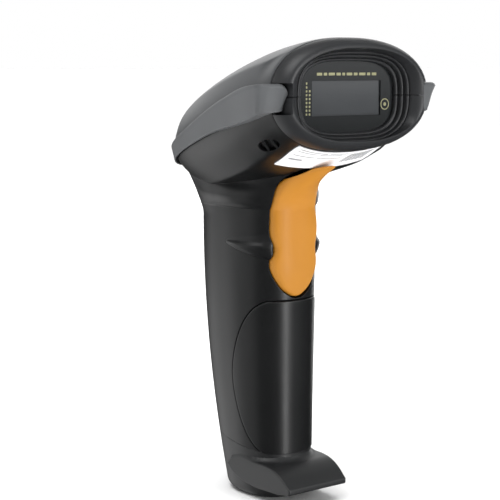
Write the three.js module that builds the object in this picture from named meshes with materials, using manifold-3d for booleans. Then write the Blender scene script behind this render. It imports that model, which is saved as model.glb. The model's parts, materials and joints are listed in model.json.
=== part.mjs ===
// Handheld barcode scanner: a pistol-grip housing with a wide scan head, built from its separate
// pieces. Millimetres, +Z up, nose towards -Y, symmetric about the plane X = 0. The origin is on
// the table under the middle of the object.
import * as THREE from 'three';
import { mergeVertices } from 'three/addons/utils/BufferGeometryUtils.js';
import Module from 'manifold-3d';

const wasm = await Module();
wasm.setup();

// ---- driving dimensions ----
const GAP = 0.3;                 // clearance between touching pieces
const SEAM = 0.15;               // half of the gap along a seam
const WALL = 2.3;                // moulded wall thickness

// scan head: stations run from the nose seam backwards along an axis that falls towards the rear
const HEAD_PITCH = THREE.MathUtils.degToRad(16);
const HEAD_Y = -42.1;            // seam between nose bezel and covers
const HEAD_Z = 145.2;            // height of the head's axis at that seam
const HEAD_LENGTH = 90.5;
const HEAD_HALF_WIDTH = 33.0;
const HEAD_TOP = 20.6;           // axis to top cover, at the fullest station
const HEAD_BOTTOM = 21.4;        // axis to underside, at the fullest station
const NOSE_TOP = 17.2;
const NOSE_BOTTOM = 18.7;
const CREASE_X = 0.86;           // crease of the top cover, as a share of the half width
const CREASE_H = 0.61;           // and of the top height
const CHINE_X = 24.5;            // lower edge of the side walls
const CHINE_H = 0.755;
const OVAL = 2.3;                // exponent of the oval sections
const SOUND_PORT = { x: 27.4, d: 16.5, h: -13.4, length: 7.2, height: 4.2, barPitch: 2.4, bar: 0.7 };
const LENS = { d: 62, radius: 4.0, depth: 5.5, stemRadius: 1.5, stemFoot: 124.7 };

// nose bezel and window
const RIM_DEPTH = 4.3;           // bezel in front of the seam
const RIM_INSET = 3.4;
const FUNNEL = { halfWidth: 24.7, top: 158.8, bottom: 128.5 };
const WINDOW = { halfWidth: 20.3, top: 155.4, bottom: 131.8 };
const FUNNEL_FRONT_Y = -43.6;
const FUNNEL_BACK_Y = -39.7;
const RIBS = 3;
const BEZEL_SPLIT_Z = 144.0;
const WINDOW_THICKNESS = 1.8;
const WINDOW_SQUARENESS = 3.2;

// bumper band round the head
const BUMPER_PROUD = 4.0;
const BUMPER_PROUD_REAR = 2.2;
const BUMPER_HALF_FRONT = 4.85;
const BUMPER_HALF_REAR = 2.75;
const BUMPER_MIDDLE = -0.8;      // below the head's axis
const NOTCH = { x: 28.5, low: 138.4, high: 148.4 };   // the bumper tips' seats in the bezel

// handle
const HANDLE_TOP = 98.7;         // where the neck begins
const HANDLE_FRONT = -13.2;
const HANDLE_REAR = 31.2;
const HANDLE_HALF_WIDTH = 16.9;
const HANDLE_OVAL = 2.4;
const COLLAR_Z = 101.5;
const COLLAR_ROLL = 3.8;
const NECK_TOP = 119;
const KEEL = { reach: 15.8, width: 8 };
const PANEL = { y: -11, z: 44.5, depth: 14.8, rise: 27.4, fall: 28.5, roundness: 1.65, thickness: 2.0 };

// base cap and its foot
const SEAM_FRONT_Z = 16.0;       // seam of the base cap at the front of the handle
const SEAM_SLOPE = 0.139;
const BASE_ROUND = 3.4;
const FOOT_FRONT_Y = -26;
const FOOT_REAR_Y = 8;
const FOOT_HALF_WIDTH = 13;
const FOOT_FLARE = 1.7;
const SOCKET = { y: 3, width: 11.6, depth: 8.4, height: 14, wall: 1.6 };

// trigger and switch
const TRIGGER_PIVOT = { y: -10.6, z: 111.4, pinRadius: 1.5, pinHalfLength: 11.8 };
const TRIGGER_GAP = 0.45;
const TRIGGER_SWELL = 1.5;
const TRIGGER_WALL = 2.4;
const SPRING = { radius: 2.0, wire: 0.28, turns: 2, x: 6.6, pitch: 0.6, leg: 4 };
const SWITCH = { z: 88, front: -6.6, back: 2.9, half: 4, bore: 1.5 };
const PLUNGER = { radius: 1.4, front: -9.3, back: -2.9 };

// screws
const COVER_SCREW = { x: 15.5, y: -33.4, seat: 126.6, length: 18 };
const ENGINE_SCREW = { x: 12.5, y: -9, length: 7 };
const MAIN_BOARD_SCREW = { x: 17, d: 44, length: 6 };
const HANDLE_BOARD_SCREW_Z = { lower: 34, upper: 66 };
const HANDLE_BOARD_SCREW_LENGTH = 8;
const BASE_SCREW = { y: 12.6, seat: 1.6, length: 24 };
const SMALL_SCREW = { head: 1.9, shank: 0.9 };
const LARGE_SCREW = { head: 2.3, shank: 1.25 };
const SCREW_HEAD_HEIGHT = 1.2;
const BOARD = 1.4;               // thickness of a circuit board
const BOARD_HOLE = 1.2;

// scan engine
const ENGINE = { front: -30, back: -7, half: 14.6, floor: 133.0, wallTop: 146, wall: 1.4, plate: 1.6 };
const BEAM_Z = 141.5;
const MIRROR_PIVOT = { x: 4.2, y: -17.5, angle: -Math.PI / 4, pinRadius: 0.7 };
const MAIN_BOARD_H = -7.6;       // underside of the main board, from the head's axis
const BEEPER = { x: 17.6, y: -25.9, z: 134.0, radius: 5.2, depth: 4 };

// ---- small helpers ----
const clamp = (x, low, high) => Math.min(high, Math.max(low, x));
const mix = (a, b, t) => a + (b - a) * t;
const power = (x, n) => Math.sign(x) * Math.abs(x) ** n;
const range = (from, to, steps) =>
  Array.from({ length: steps + 1 }, (_, i) => mix(from, to, i / steps));

function smooth(x) {
  const t = clamp(x, 0, 1);
  return t * t * (3 - 2 * t);
}

function bezier(p0, p1, p2, t) {
  const k = 1 - t;
  return [0, 1].map((i) => k * k * p0[i] + 2 * k * t * p1[i] + t * t * p2[i]);
}

// triangles between rings of equal point count, and fans that close the first and last ring
function loftFaces(ringCount, n, closed) {
  const faces = [];
  const spans = closed ? ringCount : ringCount - 1;
  for (let i = 0; i < spans; i++) {
    const here = i * n;
    const next = ((i + 1) % ringCount) * n;
    for (let j = 0; j < n; j++) {
      const k = (j + 1) % n;
      faces.push([here + j, here + k, next + k], [here + j, next + k, next + j]);
    }
  }
  if (closed) return faces;
  const firstCentre = ringCount * n;
  const lastRing = (ringCount - 1) * n;
  for (let j = 0; j < n; j++) {
    const k = (j + 1) % n;
    faces.push([firstCentre, k, j], [firstCentre + 1, lastRing + j, lastRing + k]);
  }
  return faces;
}

// a loft through rings of equal point count; `closed` joins the last ring to the first
function loft(rings, closed = false) {
  const points = rings.flat();
  const ends = closed ? [] : [rings[0], rings[rings.length - 1]];
  for (const ring of ends) {
    points.push(ring.reduce((sum, p) => sum.add(p), new THREE.Vector3()).divideScalar(ring.length));
  }
  const faces = loftFaces(rings.length, rings[0].length, closed);
  const volume = faces.reduce((sum, [a, b, c]) =>
    sum + points[a].dot(new THREE.Vector3().crossVectors(points[b], points[c])), 0);
  const geometry = new THREE.BufferGeometry().setFromPoints(points);
  geometry.setIndex(faces.flatMap(([a, b, c]) => (volume > 0 ? [a, b, c] : [a, c, b])));
  return geometry;
}

function solid(geometry) {
  const bare = geometry.clone();
  bare.deleteAttribute('normal');
  bare.deleteAttribute('uv');
  const merged = mergeVertices(bare, 1e-4);
  return new wasm.Manifold(new wasm.Mesh({
    numProp: 3,
    vertProperties: new Float32Array(merged.attributes.position.array),
    triVerts: new Uint32Array(merged.index.array),
  }));
}

function geometryOf(manifold) {
  const mesh = manifold.getMesh();
  const geometry = new THREE.BufferGeometry();
  geometry.setAttribute('position', new THREE.BufferAttribute(mesh.vertProperties, 3));
  geometry.setIndex(new THREE.BufferAttribute(mesh.triVerts, 1));
  return geometry;
}

const box = (x0, x1, y0, y1, z0, z1) => solid(new THREE.BoxGeometry(x1 - x0, y1 - y0, z1 - z0)
  .translate((x0 + x1) / 2, (y0 + y1) / 2, (z0 + z1) / 2));

// a cylinder along an axis ('x', 'y' or 'z') between two coordinates of that axis
function rod(axis, radius, from, to, centre = [0, 0, 0], segments = 14) {
  const geometry = new THREE.CylinderGeometry(radius, radius, to - from, segments);
  if (axis === 'z') geometry.rotateX(Math.PI / 2);
  if (axis === 'x') geometry.rotateZ(-Math.PI / 2);
  const at = new THREE.Vector3(...centre);
  at[axis] = (from + to) / 2;
  return solid(geometry.translate(at.x, at.y, at.z));
}

// flat outlines made thick: along Z from (x, y) points, X from (y, z) points, Y from (x, z) points
function slabZ(outline, z0, z1) {
  const shape = new THREE.Shape(outline.map(([u, v]) => new THREE.Vector2(u, v)));
  const geometry = new THREE.ExtrudeGeometry(shape, { depth: z1 - z0, bevelEnabled: false });
  return solid(geometry.translate(0, 0, z0));
}
const slabX = (outline, x0, x1) => slabZ(outline, x0, x1).rotate([90, 0, 90]);
const slabY = (outline, y0, y1) => slabZ(outline, -y1, -y0).rotate([90, 0, 0]);

// ---- materials and placing ----
const finishes = {
  cover: { color: 0x4a4b4d, roughness: 0.5, metalness: 0 },
  housing: { color: 0x333436, roughness: 0.5, metalness: 0 },
  bezel: { color: 0x2b2c2e, roughness: 0.55, metalness: 0 },
  bumper: { color: 0x757678, roughness: 0.65, metalness: 0 },
  trigger: { color: 0xdd9b50, roughness: 0.45, metalness: 0 },
  window: { color: 0x3c3e40, roughness: 0.12, metalness: 0 },
  label: { color: 0xeaeaea, roughness: 0.7, metalness: 0 },
  lightPipe: { color: 0xd8e4dc, roughness: 0.3, metalness: 0 },
  gasket: { color: 0x1b1b1c, roughness: 0.9, metalness: 0 },
  board: { color: 0x1f6b3d, roughness: 0.5, metalness: 0 },
  blackPart: { color: 0x1c1c1e, roughness: 0.5, metalness: 0 },
  flatCable: { color: 0xcfcfcb, roughness: 0.6, metalness: 0 },
  steel: { color: 0xb9bcc0, roughness: 0.35, metalness: 1 },
  brass: { color: 0xc2a25a, roughness: 0.35, metalness: 1 },
  copper: { color: 0xb06a3c, roughness: 0.35, metalness: 1 },
  mirror: { color: 0xdfe6ea, roughness: 0.05, metalness: 1 },
  dieCast: { color: 0x8f9296, roughness: 0.45, metalness: 1 },
};

const group = new THREE.Group();
// pieces in the head's own frame: X across, Y back along its axis, Z square to it
const headFrame = new THREE.Group();
headFrame.position.set(0, HEAD_Y, HEAD_Z);
headFrame.rotation.x = -HEAD_PITCH;
// the scan mirror and its magnet, turned about their pin
const mirrorFrame = new THREE.Group();
mirrorFrame.position.set(MIRROR_PIVOT.x, MIRROR_PIVOT.y, 0);
mirrorFrame.rotation.z = MIRROR_PIVOT.angle;
group.add(headFrame, mirrorFrame);

function place(name, piece, finish, parent = group) {
  const shape = piece.isBufferGeometry ? piece : geometryOf(piece);
  const mesh = new THREE.Mesh(shape, new THREE.MeshStandardMaterial(finishes[finish]));
  mesh.name = name;
  parent.add(mesh);
  return mesh;
}

// ---- scan head form ----
// half width, height above and depth below the axis at a station
const headWidth = (d) => {
  const u = clamp((d - 12) / (HEAD_LENGTH - 12), 0, 1);
  return HEAD_HALF_WIDTH * (1 - u ** 2.1) ** (1 / 2.1);
};
const headTop = (d) => {
  const u = clamp((d - 24) / (HEAD_LENGTH - 24), 0, 1);
  const rise = 1 - (1 - clamp(d / 22, 0, 1)) ** 2;
  return mix(NOSE_TOP, HEAD_TOP, rise) * (1 - u ** 2) ** (1 / 1.65);
};
const headBottom = (d) => {
  const u = clamp((d - 30) / (HEAD_LENGTH - 30), 0, 1);
  return mix(NOSE_BOTTOM, HEAD_BOTTOM, smooth(d / 30)) * (1 - u ** 2) ** (1 / 2.4);
};
const chineX = (d) => CHINE_X * (1 - clamp((d - 18) / (HEAD_LENGTH - 18), 0, 1) ** 1.6);
const chineH = (d) => CHINE_H + 0.22 * clamp((d - 20) / (HEAD_LENGTH - 20), 0, 1) ** 1.5;

// a place in the head: x across, d back from the seam, h above the axis; the stations stand
// upright at the nose and turn square to the axis further back
function headPoint(x, d, h) {
  const s = Math.sin(HEAD_PITCH);
  const c = Math.cos(HEAD_PITCH);
  const lean = h * Math.tan(HEAD_PITCH) * (1 - smooth(d / 30));
  const along = d - lean;
  return new THREE.Vector3(x, HEAD_Y + along * c + h * s, HEAD_Z - along * s + h * c);
}

function oval(width, top, bottom, angle) {
  const c = Math.cos(angle);
  const s = Math.sin(angle);
  return [width * power(c, 2 / OVAL), (s > 0 ? top : bottom) * power(s, 2 / OVAL)];
}

// a quarter of a section in two curves that meet at a corner; t runs 0 at the side to 1 at the
// middle of the top or bottom
function corneredQuarter(width, reach, corner, lift, spread, t) {
  if (t < 0.5) return bezier([width, 0], [width, corner[1] * lift], corner, t * 2);
  return bezier(corner, [corner[0] * spread, reach], [0, reach], t * 2 - 1);
}

// one point of a head section; q runs 0 at the right side, 1 top, 2 left side, 3 bottom
function headSection(d, q, shrink) {
  const width = Math.max(headWidth(d) - shrink, 0.01);
  const top = Math.max(headTop(d) - shrink, 0.01);
  const bottom = Math.max(headBottom(d) - shrink, 0.01);
  const plain = oval(width, top, bottom, q * Math.PI / 2);
  const upper = q <= 2;
  const side = q <= 1 || q > 3 ? 1 : -1;
  const t = 1 - Math.abs(1 - (q % 2));
  const crease = [CREASE_X * width, CREASE_H * top];
  const chine = [Math.max(chineX(d) - shrink * 0.7, 0), -chineH(d) * bottom];
  const cornered = upper
    ? corneredQuarter(width, top, crease, 0.4, 0.55, t)
    : corneredQuarter(width, -bottom, chine, 0.55, 0.5, t);
  const blend = smooth(d / (upper ? 10 : 14));
  return [mix(plain[0], side * cornered[0], blend), mix(plain[1], cornered[1], blend)];
}

// the head as a solid from station `from`, made smaller all round by `shrink`
const HEAD_STEPS = 24;
function headForm(from, shrink, stations = 12) {
  const end = HEAD_LENGTH - shrink;
  const rings = range(0, 1, stations).map((u) => {
    const d = from + (end - from) * (1 - (1 - u) ** 1.6);
    const form = Math.min(d + shrink * u, HEAD_LENGTH - 0.05);
    return Array.from({ length: HEAD_STEPS }, (_, j) => {
      const [x, h] = headSection(form, j * 4 / HEAD_STEPS, shrink);
      return headPoint(x, d, h);
    });
  });
  return solid(loft(rings));
}

// a piece made in the head's own frame, brought into the object's frame
const inHead = (piece) => piece.rotate([-THREE.MathUtils.radToDeg(HEAD_PITCH), 0, 0])
  .translate([0, HEAD_Y, HEAD_Z]);

// a slab of space in the head's own frame, between two heights from the axis
const headSlab = (low, high) => inHead(box(-60, 60, -10, 110, low, high));

// ---- handle form ----
function handleProfile(z) {
  const u = clamp(z / HANDLE_TOP, 0, 1);
  const neckRear = 12 * clamp((z - 101) / 15, 0, 2) ** 1.25;
  const roll = z > COLLAR_Z ? COLLAR_ROLL * (1 - Math.exp(-(z - COLLAR_Z) / 2.6)) : 0;
  return {
    front: HANDLE_FRONT - u ** 2,
    rear: HANDLE_REAR - 14.3 * (1 - u) ** 2.2 + neckRear,
    half: HANDLE_HALF_WIDTH - 3.5 * (1 - u) ** 1.5 + roll,
    keel: KEEL.reach * clamp((z - 103) / 16, 0, 1.1) ** 2,
  };
}

// a level ring round the handle; the neck sweeps forward under the head as a keel, widest at the
// middle
const HANDLE_STEPS = 20;
function handleRing({ front, rear, half, keel }, z, inset) {
  return Array.from({ length: HANDLE_STEPS }, (_, j) => {
    const angle = j * 2 * Math.PI / HANDLE_STEPS;
    const x = (half - inset) * power(Math.sin(angle), 2 / HANDLE_OVAL);
    const reach = (rear - front) / 2 - inset;
    const forward = Math.cos(angle) > 0 ? keel * Math.exp(-((x / KEEL.width) ** 2)) : 0;
    const y = (front + rear) / 2 - reach * power(Math.cos(angle), 2 / HANDLE_OVAL) - forward;
    return new THREE.Vector3(x, y, z);
  });
}

function handleForm(heights, inset, profile = handleProfile) {
  return solid(loft(heights.map((z) => handleRing(profile(z), z, inset))));
}
const neckHeights = [COLLAR_Z, 102.6, 104.5, 107.5, 110.5, 113.5, 116.5, NECK_TOP];

// everything below (or above) the tilted seam of the base cap
function acrossSeam(offset, below) {
  const seam = (y) => SEAM_FRONT_Z + SEAM_SLOPE * (y - HANDLE_FRONT) + offset;
  const far = below ? -20 : 240;
  return slabX([[-60, seam(-60)], [60, seam(60)], [60, far], [-60, far]], -60, 60);
}

// ---- outlines ----
// front grip panel, seen from the side: a D whose back edge bows round the flank of the handle
function panelOutline(grow) {
  const bow = range(-Math.PI / 2, Math.PI / 2, 14).map((angle) => {
    const reach = Math.sin(angle) > 0 ? PANEL.rise : PANEL.fall;
    return [PANEL.y + (PANEL.depth + grow) * power(Math.cos(angle), 2 / PANEL.roundness),
      PANEL.z + (reach + grow) * power(Math.sin(angle), 2 / PANEL.roundness)];
  });
  return [[-60, PANEL.z - PANEL.fall - grow], ...bow, [-60, PANEL.z + PANEL.rise + grow]];
}

// trigger, seen from the front: half widths from its lower tip to its upper tip
function triggerOutline(grow) {
  const half = [[0, 73.1], [6.2, 76.6], [9.2, 81.8], [9.9, 85.8], [8.8, 90.3], [9.9, 95.5],
    [9.9, 101.5], [9.4, 108], [8.2, 113.5], [5.4, 117.8], [0, 120.4]];
  const centre = 97;
  const curve = new THREE.CatmullRomCurve3(half.map(([x, z]) => new THREE.Vector3(x, 0, z)));
  const right = curve.getPoints(17).map(({ x, z }) => {
    const side = x < 0.01 ? 0 : x + grow;
    const end = grow * Math.sign(z - centre) * smooth(Math.abs(z - centre) / 20);
    return [side, z + end];
  });
  const left = right.slice(1, -1).reverse().map(([x, z]) => [-x, z]);
  return [...right, ...left];
}

// front of the trigger: a finger scoop above a swelling, then a horn that sweeps forward
function triggerProfile(z) {
  const base = handleProfile(z);
  const scoop = 0.7 * Math.exp(-(((z - 106) / 5) ** 2));
  const swell = TRIGGER_SWELL * smooth((z - 72) / 12) * (1 - scoop);
  return { ...base, front: base.front - swell, half: base.half + 0.4 };
}

// ---- covers and housing ----
const headOuter = headForm(SEAM, 0);
const headCavity = headForm(-1, WALL);
const bothSides = [-1, 1];
const lensTop = headPoint(0, LENS.d, headTop(LENS.d));

function topCover() {
  let cover = headOuter.intersect(headSlab(SEAM, 60)).subtract(headCavity);
  const inside = headForm(SEAM, 0.5);
  for (const side of bothSides) {
    const centre = [side * COVER_SCREW.x, COVER_SCREW.y, 0];
    const boss = rod('z', 2.6, 131.4, 160, centre).intersect(inside);
    cover = cover.add(boss).subtract(rod('z', 1.4, 130, 147, centre));
  }
  const seat = rod('z', LENS.radius + GAP, lensTop.z - 6, lensTop.z + 4, [0, lensTop.y, 0], 20);
  return cover.subtract(seat);
}

function lightPipe() {
  const centre = [0, lensTop.y, 0];
  const lens = rod('z', LENS.radius, lensTop.z - LENS.depth, lensTop.z + 4, centre, 20);
  const stem = rod('z', LENS.stemRadius, LENS.stemFoot, lensTop.z - LENS.depth + 1, centre, 12);
  return lens.intersect(headForm(SEAM, 0.1)).add(stem);
}

// finger guides on both flanks, level with the trigger's swelling: they flare outwards going down
function fingerLips() {
  const flare = [[96.4, -0.6], [94, 0.6], [91.5, 1.5], [89.2, 2.2], [88.3, -0.6]];
  const wedge = solid(loft(flare.map(([z, proud]) => handleRing(handleProfile(z), z, -proud))));
  const side = [[-10.4, 86], [-10.4, 97.5], [-2, 97.2], [2.5, 95.4], [5.2, 92.4], [3, 90.2],
    [-4, 88.6]];
  const lips = wedge.intersect(slabX(side, -40, 40));
  return lips.subtract(handleForm([80, 90, HANDLE_TOP], WALL));
}

// sound ports: an oval opening on each side wall, crossed by two thin bars
function soundPort(side) {
  const spot = headPoint(side * SOUND_PORT.x, SOUND_PORT.d, SOUND_PORT.h);
  const opening = new THREE.CylinderGeometry(1, 1, 9, 14).rotateZ(Math.PI / 2)
    .scale(1, SOUND_PORT.length / 2, SOUND_PORT.height / 2).rotateX(-HEAD_PITCH)
    .translate(spot.x, spot.y, spot.z);
  const bars = bothSides.map((way) => {
    const y = spot.y + way * SOUND_PORT.barPitch / 2;
    const half = SOUND_PORT.bar / 2;
    return box(spot.x - 6, spot.x + 6, y - half, y + half, spot.z - 4, spot.z + 4);
  });
  return bars.reduce((cut, bar) => cut.subtract(bar), solid(opening));
}

// head shell and handle shell in one moulding, open where the other pieces fit
function housingShell() {
  const lowerHead = headOuter.intersect(headSlab(-60, -SEAM));
  const column = handleForm([12, ...range(24, HANDLE_TOP, 5), ...neckHeights], 0);
  const hollow = handleForm([0, 12, ...range(24, HANDLE_TOP, 4), 103, 107.5, 112, 117], WALL);
  const panelSeat = slabX(panelOutline(GAP), -40, 40).intersect(box(-40, 40, -60, 6, 0, 80));
  const triggerSlot = slabY(triggerOutline(TRIGGER_GAP), -34, -6.8);
  const ahead = box(-60, 60, -80, HEAD_Y + SEAM, 0, 200);
  return lowerHead.add(column.subtract(headSlab(-4, 60))).subtract(headCavity).subtract(hollow)
    .add(fingerLips()).intersect(acrossSeam(SEAM, false)).subtract(panelSeat)
    .subtract(triggerSlot).subtract(soundPort(-1)).subtract(soundPort(1)).subtract(ahead);
}

// posts inside the shell: [post, hole] pairs
function housingPosts() {
  const pairs = [];
  const { x, y, seat } = COVER_SCREW;
  const pin = [0, TRIGGER_PIVOT.y, TRIGGER_PIVOT.z];
  for (const side of bothSides) {
    const cover = [side * x, y, 0];
    const passage = rod('z', 1.55, 110, 140, cover).add(rod('z', 2.6, 110, seat + 0.1, cover));
    pairs.push([rod('z', 3.2, 120, 131, cover), passage]);
    const engine = [side * ENGINE_SCREW.x, ENGINE_SCREW.y, 0];
    pairs.push([rod('z', 2.4, 110, 131.2, engine), rod('z', 1.1, 124, 140, engine, 12)]);
    const board = [side * MAIN_BOARD_SCREW.x, MAIN_BOARD_SCREW.d, 0];
    const boardTop = MAIN_BOARD_H - GAP;
    pairs.push([inHead(rod('z', 2.2, boardTop - 9, boardTop, board)),
      inHead(rod('z', 1.1, boardTop - 7, 0, board, 12))]);
    const cheek = side > 0 ? [9.4, 20] : [-20, -9.4];
    pairs.push([rod('x', 3.4, ...cheek, pin), rod('x', 1.56, -12, 12, pin)]);
  }
  for (const z of Object.values(HANDLE_BOARD_SCREW_Z)) {
    pairs.push([rod('y', 2.4, 4.8, 32, [0, 0, z]), rod('y', 1.1, 2, 12, [0, 0, z], 12)]);
  }
  const base = [0, BASE_SCREW.y, 0];
  const brace = box(-1.5, 1.5, BASE_SCREW.y, 24, 21.2, 32);
  pairs.push([rod('z', 2.5, 19.5, 32, base).add(brace), rod('z', 1.1, 10, 30, base, 12)]);
  return pairs;
}

function lowerHousing() {
  const within = headForm(SEAM, 0.4).add(handleForm([12, 50, HANDLE_TOP, 105, 112], 0.4));
  const pairs = housingPosts();
  let housing = housingShell();
  for (const [post] of pairs) housing = housing.add(post.intersect(within));
  for (const [, hole] of pairs) housing = housing.subtract(hole);
  return housing;
}

// ---- nose bezel and window ----
// upright ring in the plane of the nose, from its half width and its top and bottom heights
function noseRing({ halfWidth, top, bottom }, y, exponent, steps = 32) {
  const centre = BEZEL_SPLIT_Z;
  return Array.from({ length: steps }, (_, j) => {
    const angle = j * 2 * Math.PI / steps;
    const s = Math.sin(angle);
    const reach = s > 0 ? top - centre : centre - bottom;
    const x = halfWidth * power(Math.cos(angle), 2 / exponent);
    return new THREE.Vector3(x, y, centre + reach * power(s, 2 / exponent));
  });
}
const seamOutline = (inset) => ({
  halfWidth: HEAD_HALF_WIDTH - inset,
  top: HEAD_Z + NOSE_TOP / Math.cos(HEAD_PITCH) - inset,
  bottom: HEAD_Z - NOSE_BOTTOM / Math.cos(HEAD_PITCH) + inset,
});
const grown = (outline, by) => ({
  halfWidth: outline.halfWidth + by,
  top: outline.top + by,
  bottom: outline.bottom - by,
});
const between = (a, b, t) => ({
  halfWidth: mix(a.halfWidth, b.halfWidth, t),
  top: mix(a.top, b.top, t),
  bottom: mix(a.bottom, b.bottom, t),
});

function bezel() {
  // outside, rounding over to the rim
  const rings = [0, 0.45, 0.75, 0.93, 1].map((t) => {
    const inset = RIM_INSET * (1 - Math.sqrt(1 - t * t));
    return noseRing(seamOutline(inset), HEAD_Y - RIM_DEPTH * t, OVAL);
  });
  // stepped funnel down to the window
  const depth = (FUNNEL_BACK_Y - FUNNEL_FRONT_Y) / RIBS;
  rings.push(noseRing(FUNNEL, FUNNEL_FRONT_Y, mix(OVAL, WINDOW_SQUARENESS, 0.4)));
  for (let i = 1; i <= RIBS; i++) {
    const outline = between(FUNNEL, WINDOW, i / RIBS);
    const exponent = mix(OVAL, WINDOW_SQUARENESS, clamp(0.4 + i / RIBS, 0, 1));
    rings.push(noseRing(outline, FUNNEL_FRONT_Y + depth * (i - 1), exponent));
    rings.push(noseRing(outline, FUNNEL_FRONT_Y + depth * i, exponent));
  }
  const back = between(WINDOW, FUNNEL, 0.45);
  rings.push(noseRing(back, FUNNEL_BACK_Y, WINDOW_SQUARENESS));
  rings.push(noseRing(back, HEAD_Y, WINDOW_SQUARENESS));
  const notch = box(NOTCH.x, 60, -60, HEAD_Y + 0.01, NOTCH.low, NOTCH.high);
  return solid(loft(rings, true)).subtract(notch).subtract(notch.mirror([1, 0, 0]));
}

const paneFront = FUNNEL_BACK_Y + GAP;
function windowPane() {
  const outline = grown(WINDOW, 0.7);
  return loft([paneFront, paneFront + WINDOW_THICKNESS].map((y) =>
    noseRing(outline, y, WINDOW_SQUARENESS, 40)));
}
function windowGasket() {
  const outer = grown(WINDOW, 0.9);
  const inner = grown(WINDOW, -1.4);
  const front = paneFront + WINDOW_THICKNESS + GAP;
  const back = front + 0.8;
  const corners = [[outer, front], [outer, back], [inner, back], [inner, front]];
  return loft(corners.map(([outline, y]) => noseRing(outline, y, WINDOW_SQUARENESS)), true);
}

// ---- bumper band, in the head's own frame ----
// one edge of the band's plan, from its tip to the middle of the rear
function bumperEdge(outer) {
  const length = HEAD_LENGTH + (outer ? BUMPER_PROUD_REAR : GAP + 0.1);
  return range(0, 1, 22).map((t) => {
    const u = Math.cos(Math.PI / 2 * (1 - t) ** 1.15);
    const d = 12 + (length - 12) * u;
    const proud = outer ? mix(BUMPER_PROUD, BUMPER_PROUD_REAR, smooth(d / 60)) : GAP;
    return [(HEAD_HALF_WIDTH + proud) * (1 - u ** 2.1) ** (1 / 2.1), d];
  });
}

// seen from above: both edges, and the rounded tip that hooks into the bezel's notch
function bumperPlan() {
  const seat = NOTCH.x + GAP;
  const inside = HEAD_HALF_WIDTH + GAP;
  const tip = [[seat, -2.4], [30.6, -2.9], [33.6, -2.3], [35.8, -0.8], [36.8, 1.8], [37.0, 6]];
  const heel = [[inside, 6], [inside, -1.2], [seat, -1.2]];
  const rightHalf = slabZ([...tip, ...bumperEdge(true), ...bumperEdge(false).reverse(), ...heel],
    -12, 12);
  return rightHalf.add(rightHalf.mirror([1, 0, 0]));
}

// seen from the side: rounded at the tip, slimmer towards the rear
function bumperSide() {
  const stations = [-4.4, -3.4, -1, 3, 12, 24, 36, 48, 60, 72, 98];
  const edge = (way, least, most) => stations.map((d) => {
    const slim = smooth((d - 15) / 50);
    const round = Math.sqrt(1 - clamp((8 - d) / 12, 0, 1) ** 2);
    const half = mix(BUMPER_HALF_FRONT, BUMPER_HALF_REAR, slim) * mix(least, most, round);
    return [d, BUMPER_MIDDLE + way * half - 0.3 * slim];
  });
  return slabX([...edge(1, 0.1, 1), ...edge(-1, 0.8, 0.92).reverse()], -60, 60);
}

// ---- front grip panel ----
function gripPanel() {
  const outer = handleForm([10, ...range(22, 80, 5)], 0);
  const inner = handleForm([8, ...range(22, 82, 5)], PANEL.thickness);
  return outer.subtract(inner).intersect(slabX(panelOutline(0), -40, 40))
    .intersect(box(-40, 40, -60, 5, 10, 76)).intersect(acrossSeam(SEAM, false));
}

// ---- base cap with the foot, and the cable socket ----
function baseProfile(z) {
  const tuck = BASE_ROUND * (1 - Math.sqrt(1 - clamp(1 - z / BASE_ROUND, 0, 1) ** 2));
  const body = handleProfile(z);
  return { ...body, front: body.front + tuck, rear: body.rear - tuck, half: body.half - tuck };
}

function foot() {
  const side = [[FOOT_REAR_Y, 10.5], [6.2, 12], [3.2, 13.2], [0, 13.7], [-12, 13.9], [-16, 13.5],
    [-19, 12.6], [-22, 11], [FOOT_FRONT_Y, 7.6], [FOOT_FRONT_Y, 5.9], [-20, 4.8], [-8, 4.5],
    [-1, 5.2], [4, 6.8], [7, 8.6]];
  const rearHalf = FOOT_HALF_WIDTH + FOOT_FLARE;
  const plan = [[-FOOT_HALF_WIDTH, FOOT_FRONT_Y], [FOOT_HALF_WIDTH, FOOT_FRONT_Y],
    [rearHalf, FOOT_REAR_Y], [-rearHalf, FOOT_REAR_Y]];
  return slabX(side, -20, 20).intersect(slabZ(plan, 0, 40));
}

// the socket's hollow, grown sideways by `grow`, between two heights
function socketBlock(grow, low, high) {
  const halfX = SOCKET.width / 2 + grow;
  const halfY = SOCKET.depth / 2 + grow;
  return box(-halfX, halfX, SOCKET.y - halfY, SOCKET.y + halfY, low, high);
}
const socketHousing = () =>
  socketBlock(SOCKET.wall, 1.0, SOCKET.height + 3).subtract(socketBlock(0, 0, SOCKET.height));

function socketContacts() {
  const back = SOCKET.y + SOCKET.depth / 2;
  const halfX = SOCKET.width / 2 - 0.9;
  const top = SOCKET.height - GAP;
  const wires = 10;
  const pitch = 1.02;
  let comb = box(-halfX, halfX, back - 3.0, back - 0.2, top - 0.6, top);
  for (let i = 0; i < wires; i++) {
    const x = (i - (wires - 1) / 2) * pitch;
    comb = comb.add(box(x - 0.2, x + 0.2, back - 1.4, back - 0.9, 3.2, top - 0.2));
  }
  return comb;
}

function baseCap() {
  const outer = handleForm([0, 0.35, 1.1, BASE_ROUND, 8, 14, 26], 0, baseProfile);
  const inner = handleForm([2.6, 5, 14, 28], 2.2, baseProfile);
  const screw = [0, BASE_SCREW.y, 0];
  const pillar = rod('z', 2.9, 1.5, 19.2, screw);
  const screwPassage = rod('z', 1.5, -1, 30, screw).add(rod('z', 2.6, -1, BASE_SCREW.seat + 0.1, screw));
  return outer.subtract(inner).add(foot().subtract(inner)).intersect(acrossSeam(-SEAM, true))
    .subtract(socketBlock(SOCKET.wall + GAP, 0.7, 40)).subtract(socketBlock(0.2, -1, 4))
    .add(pillar).subtract(screwPassage);
}

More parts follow.
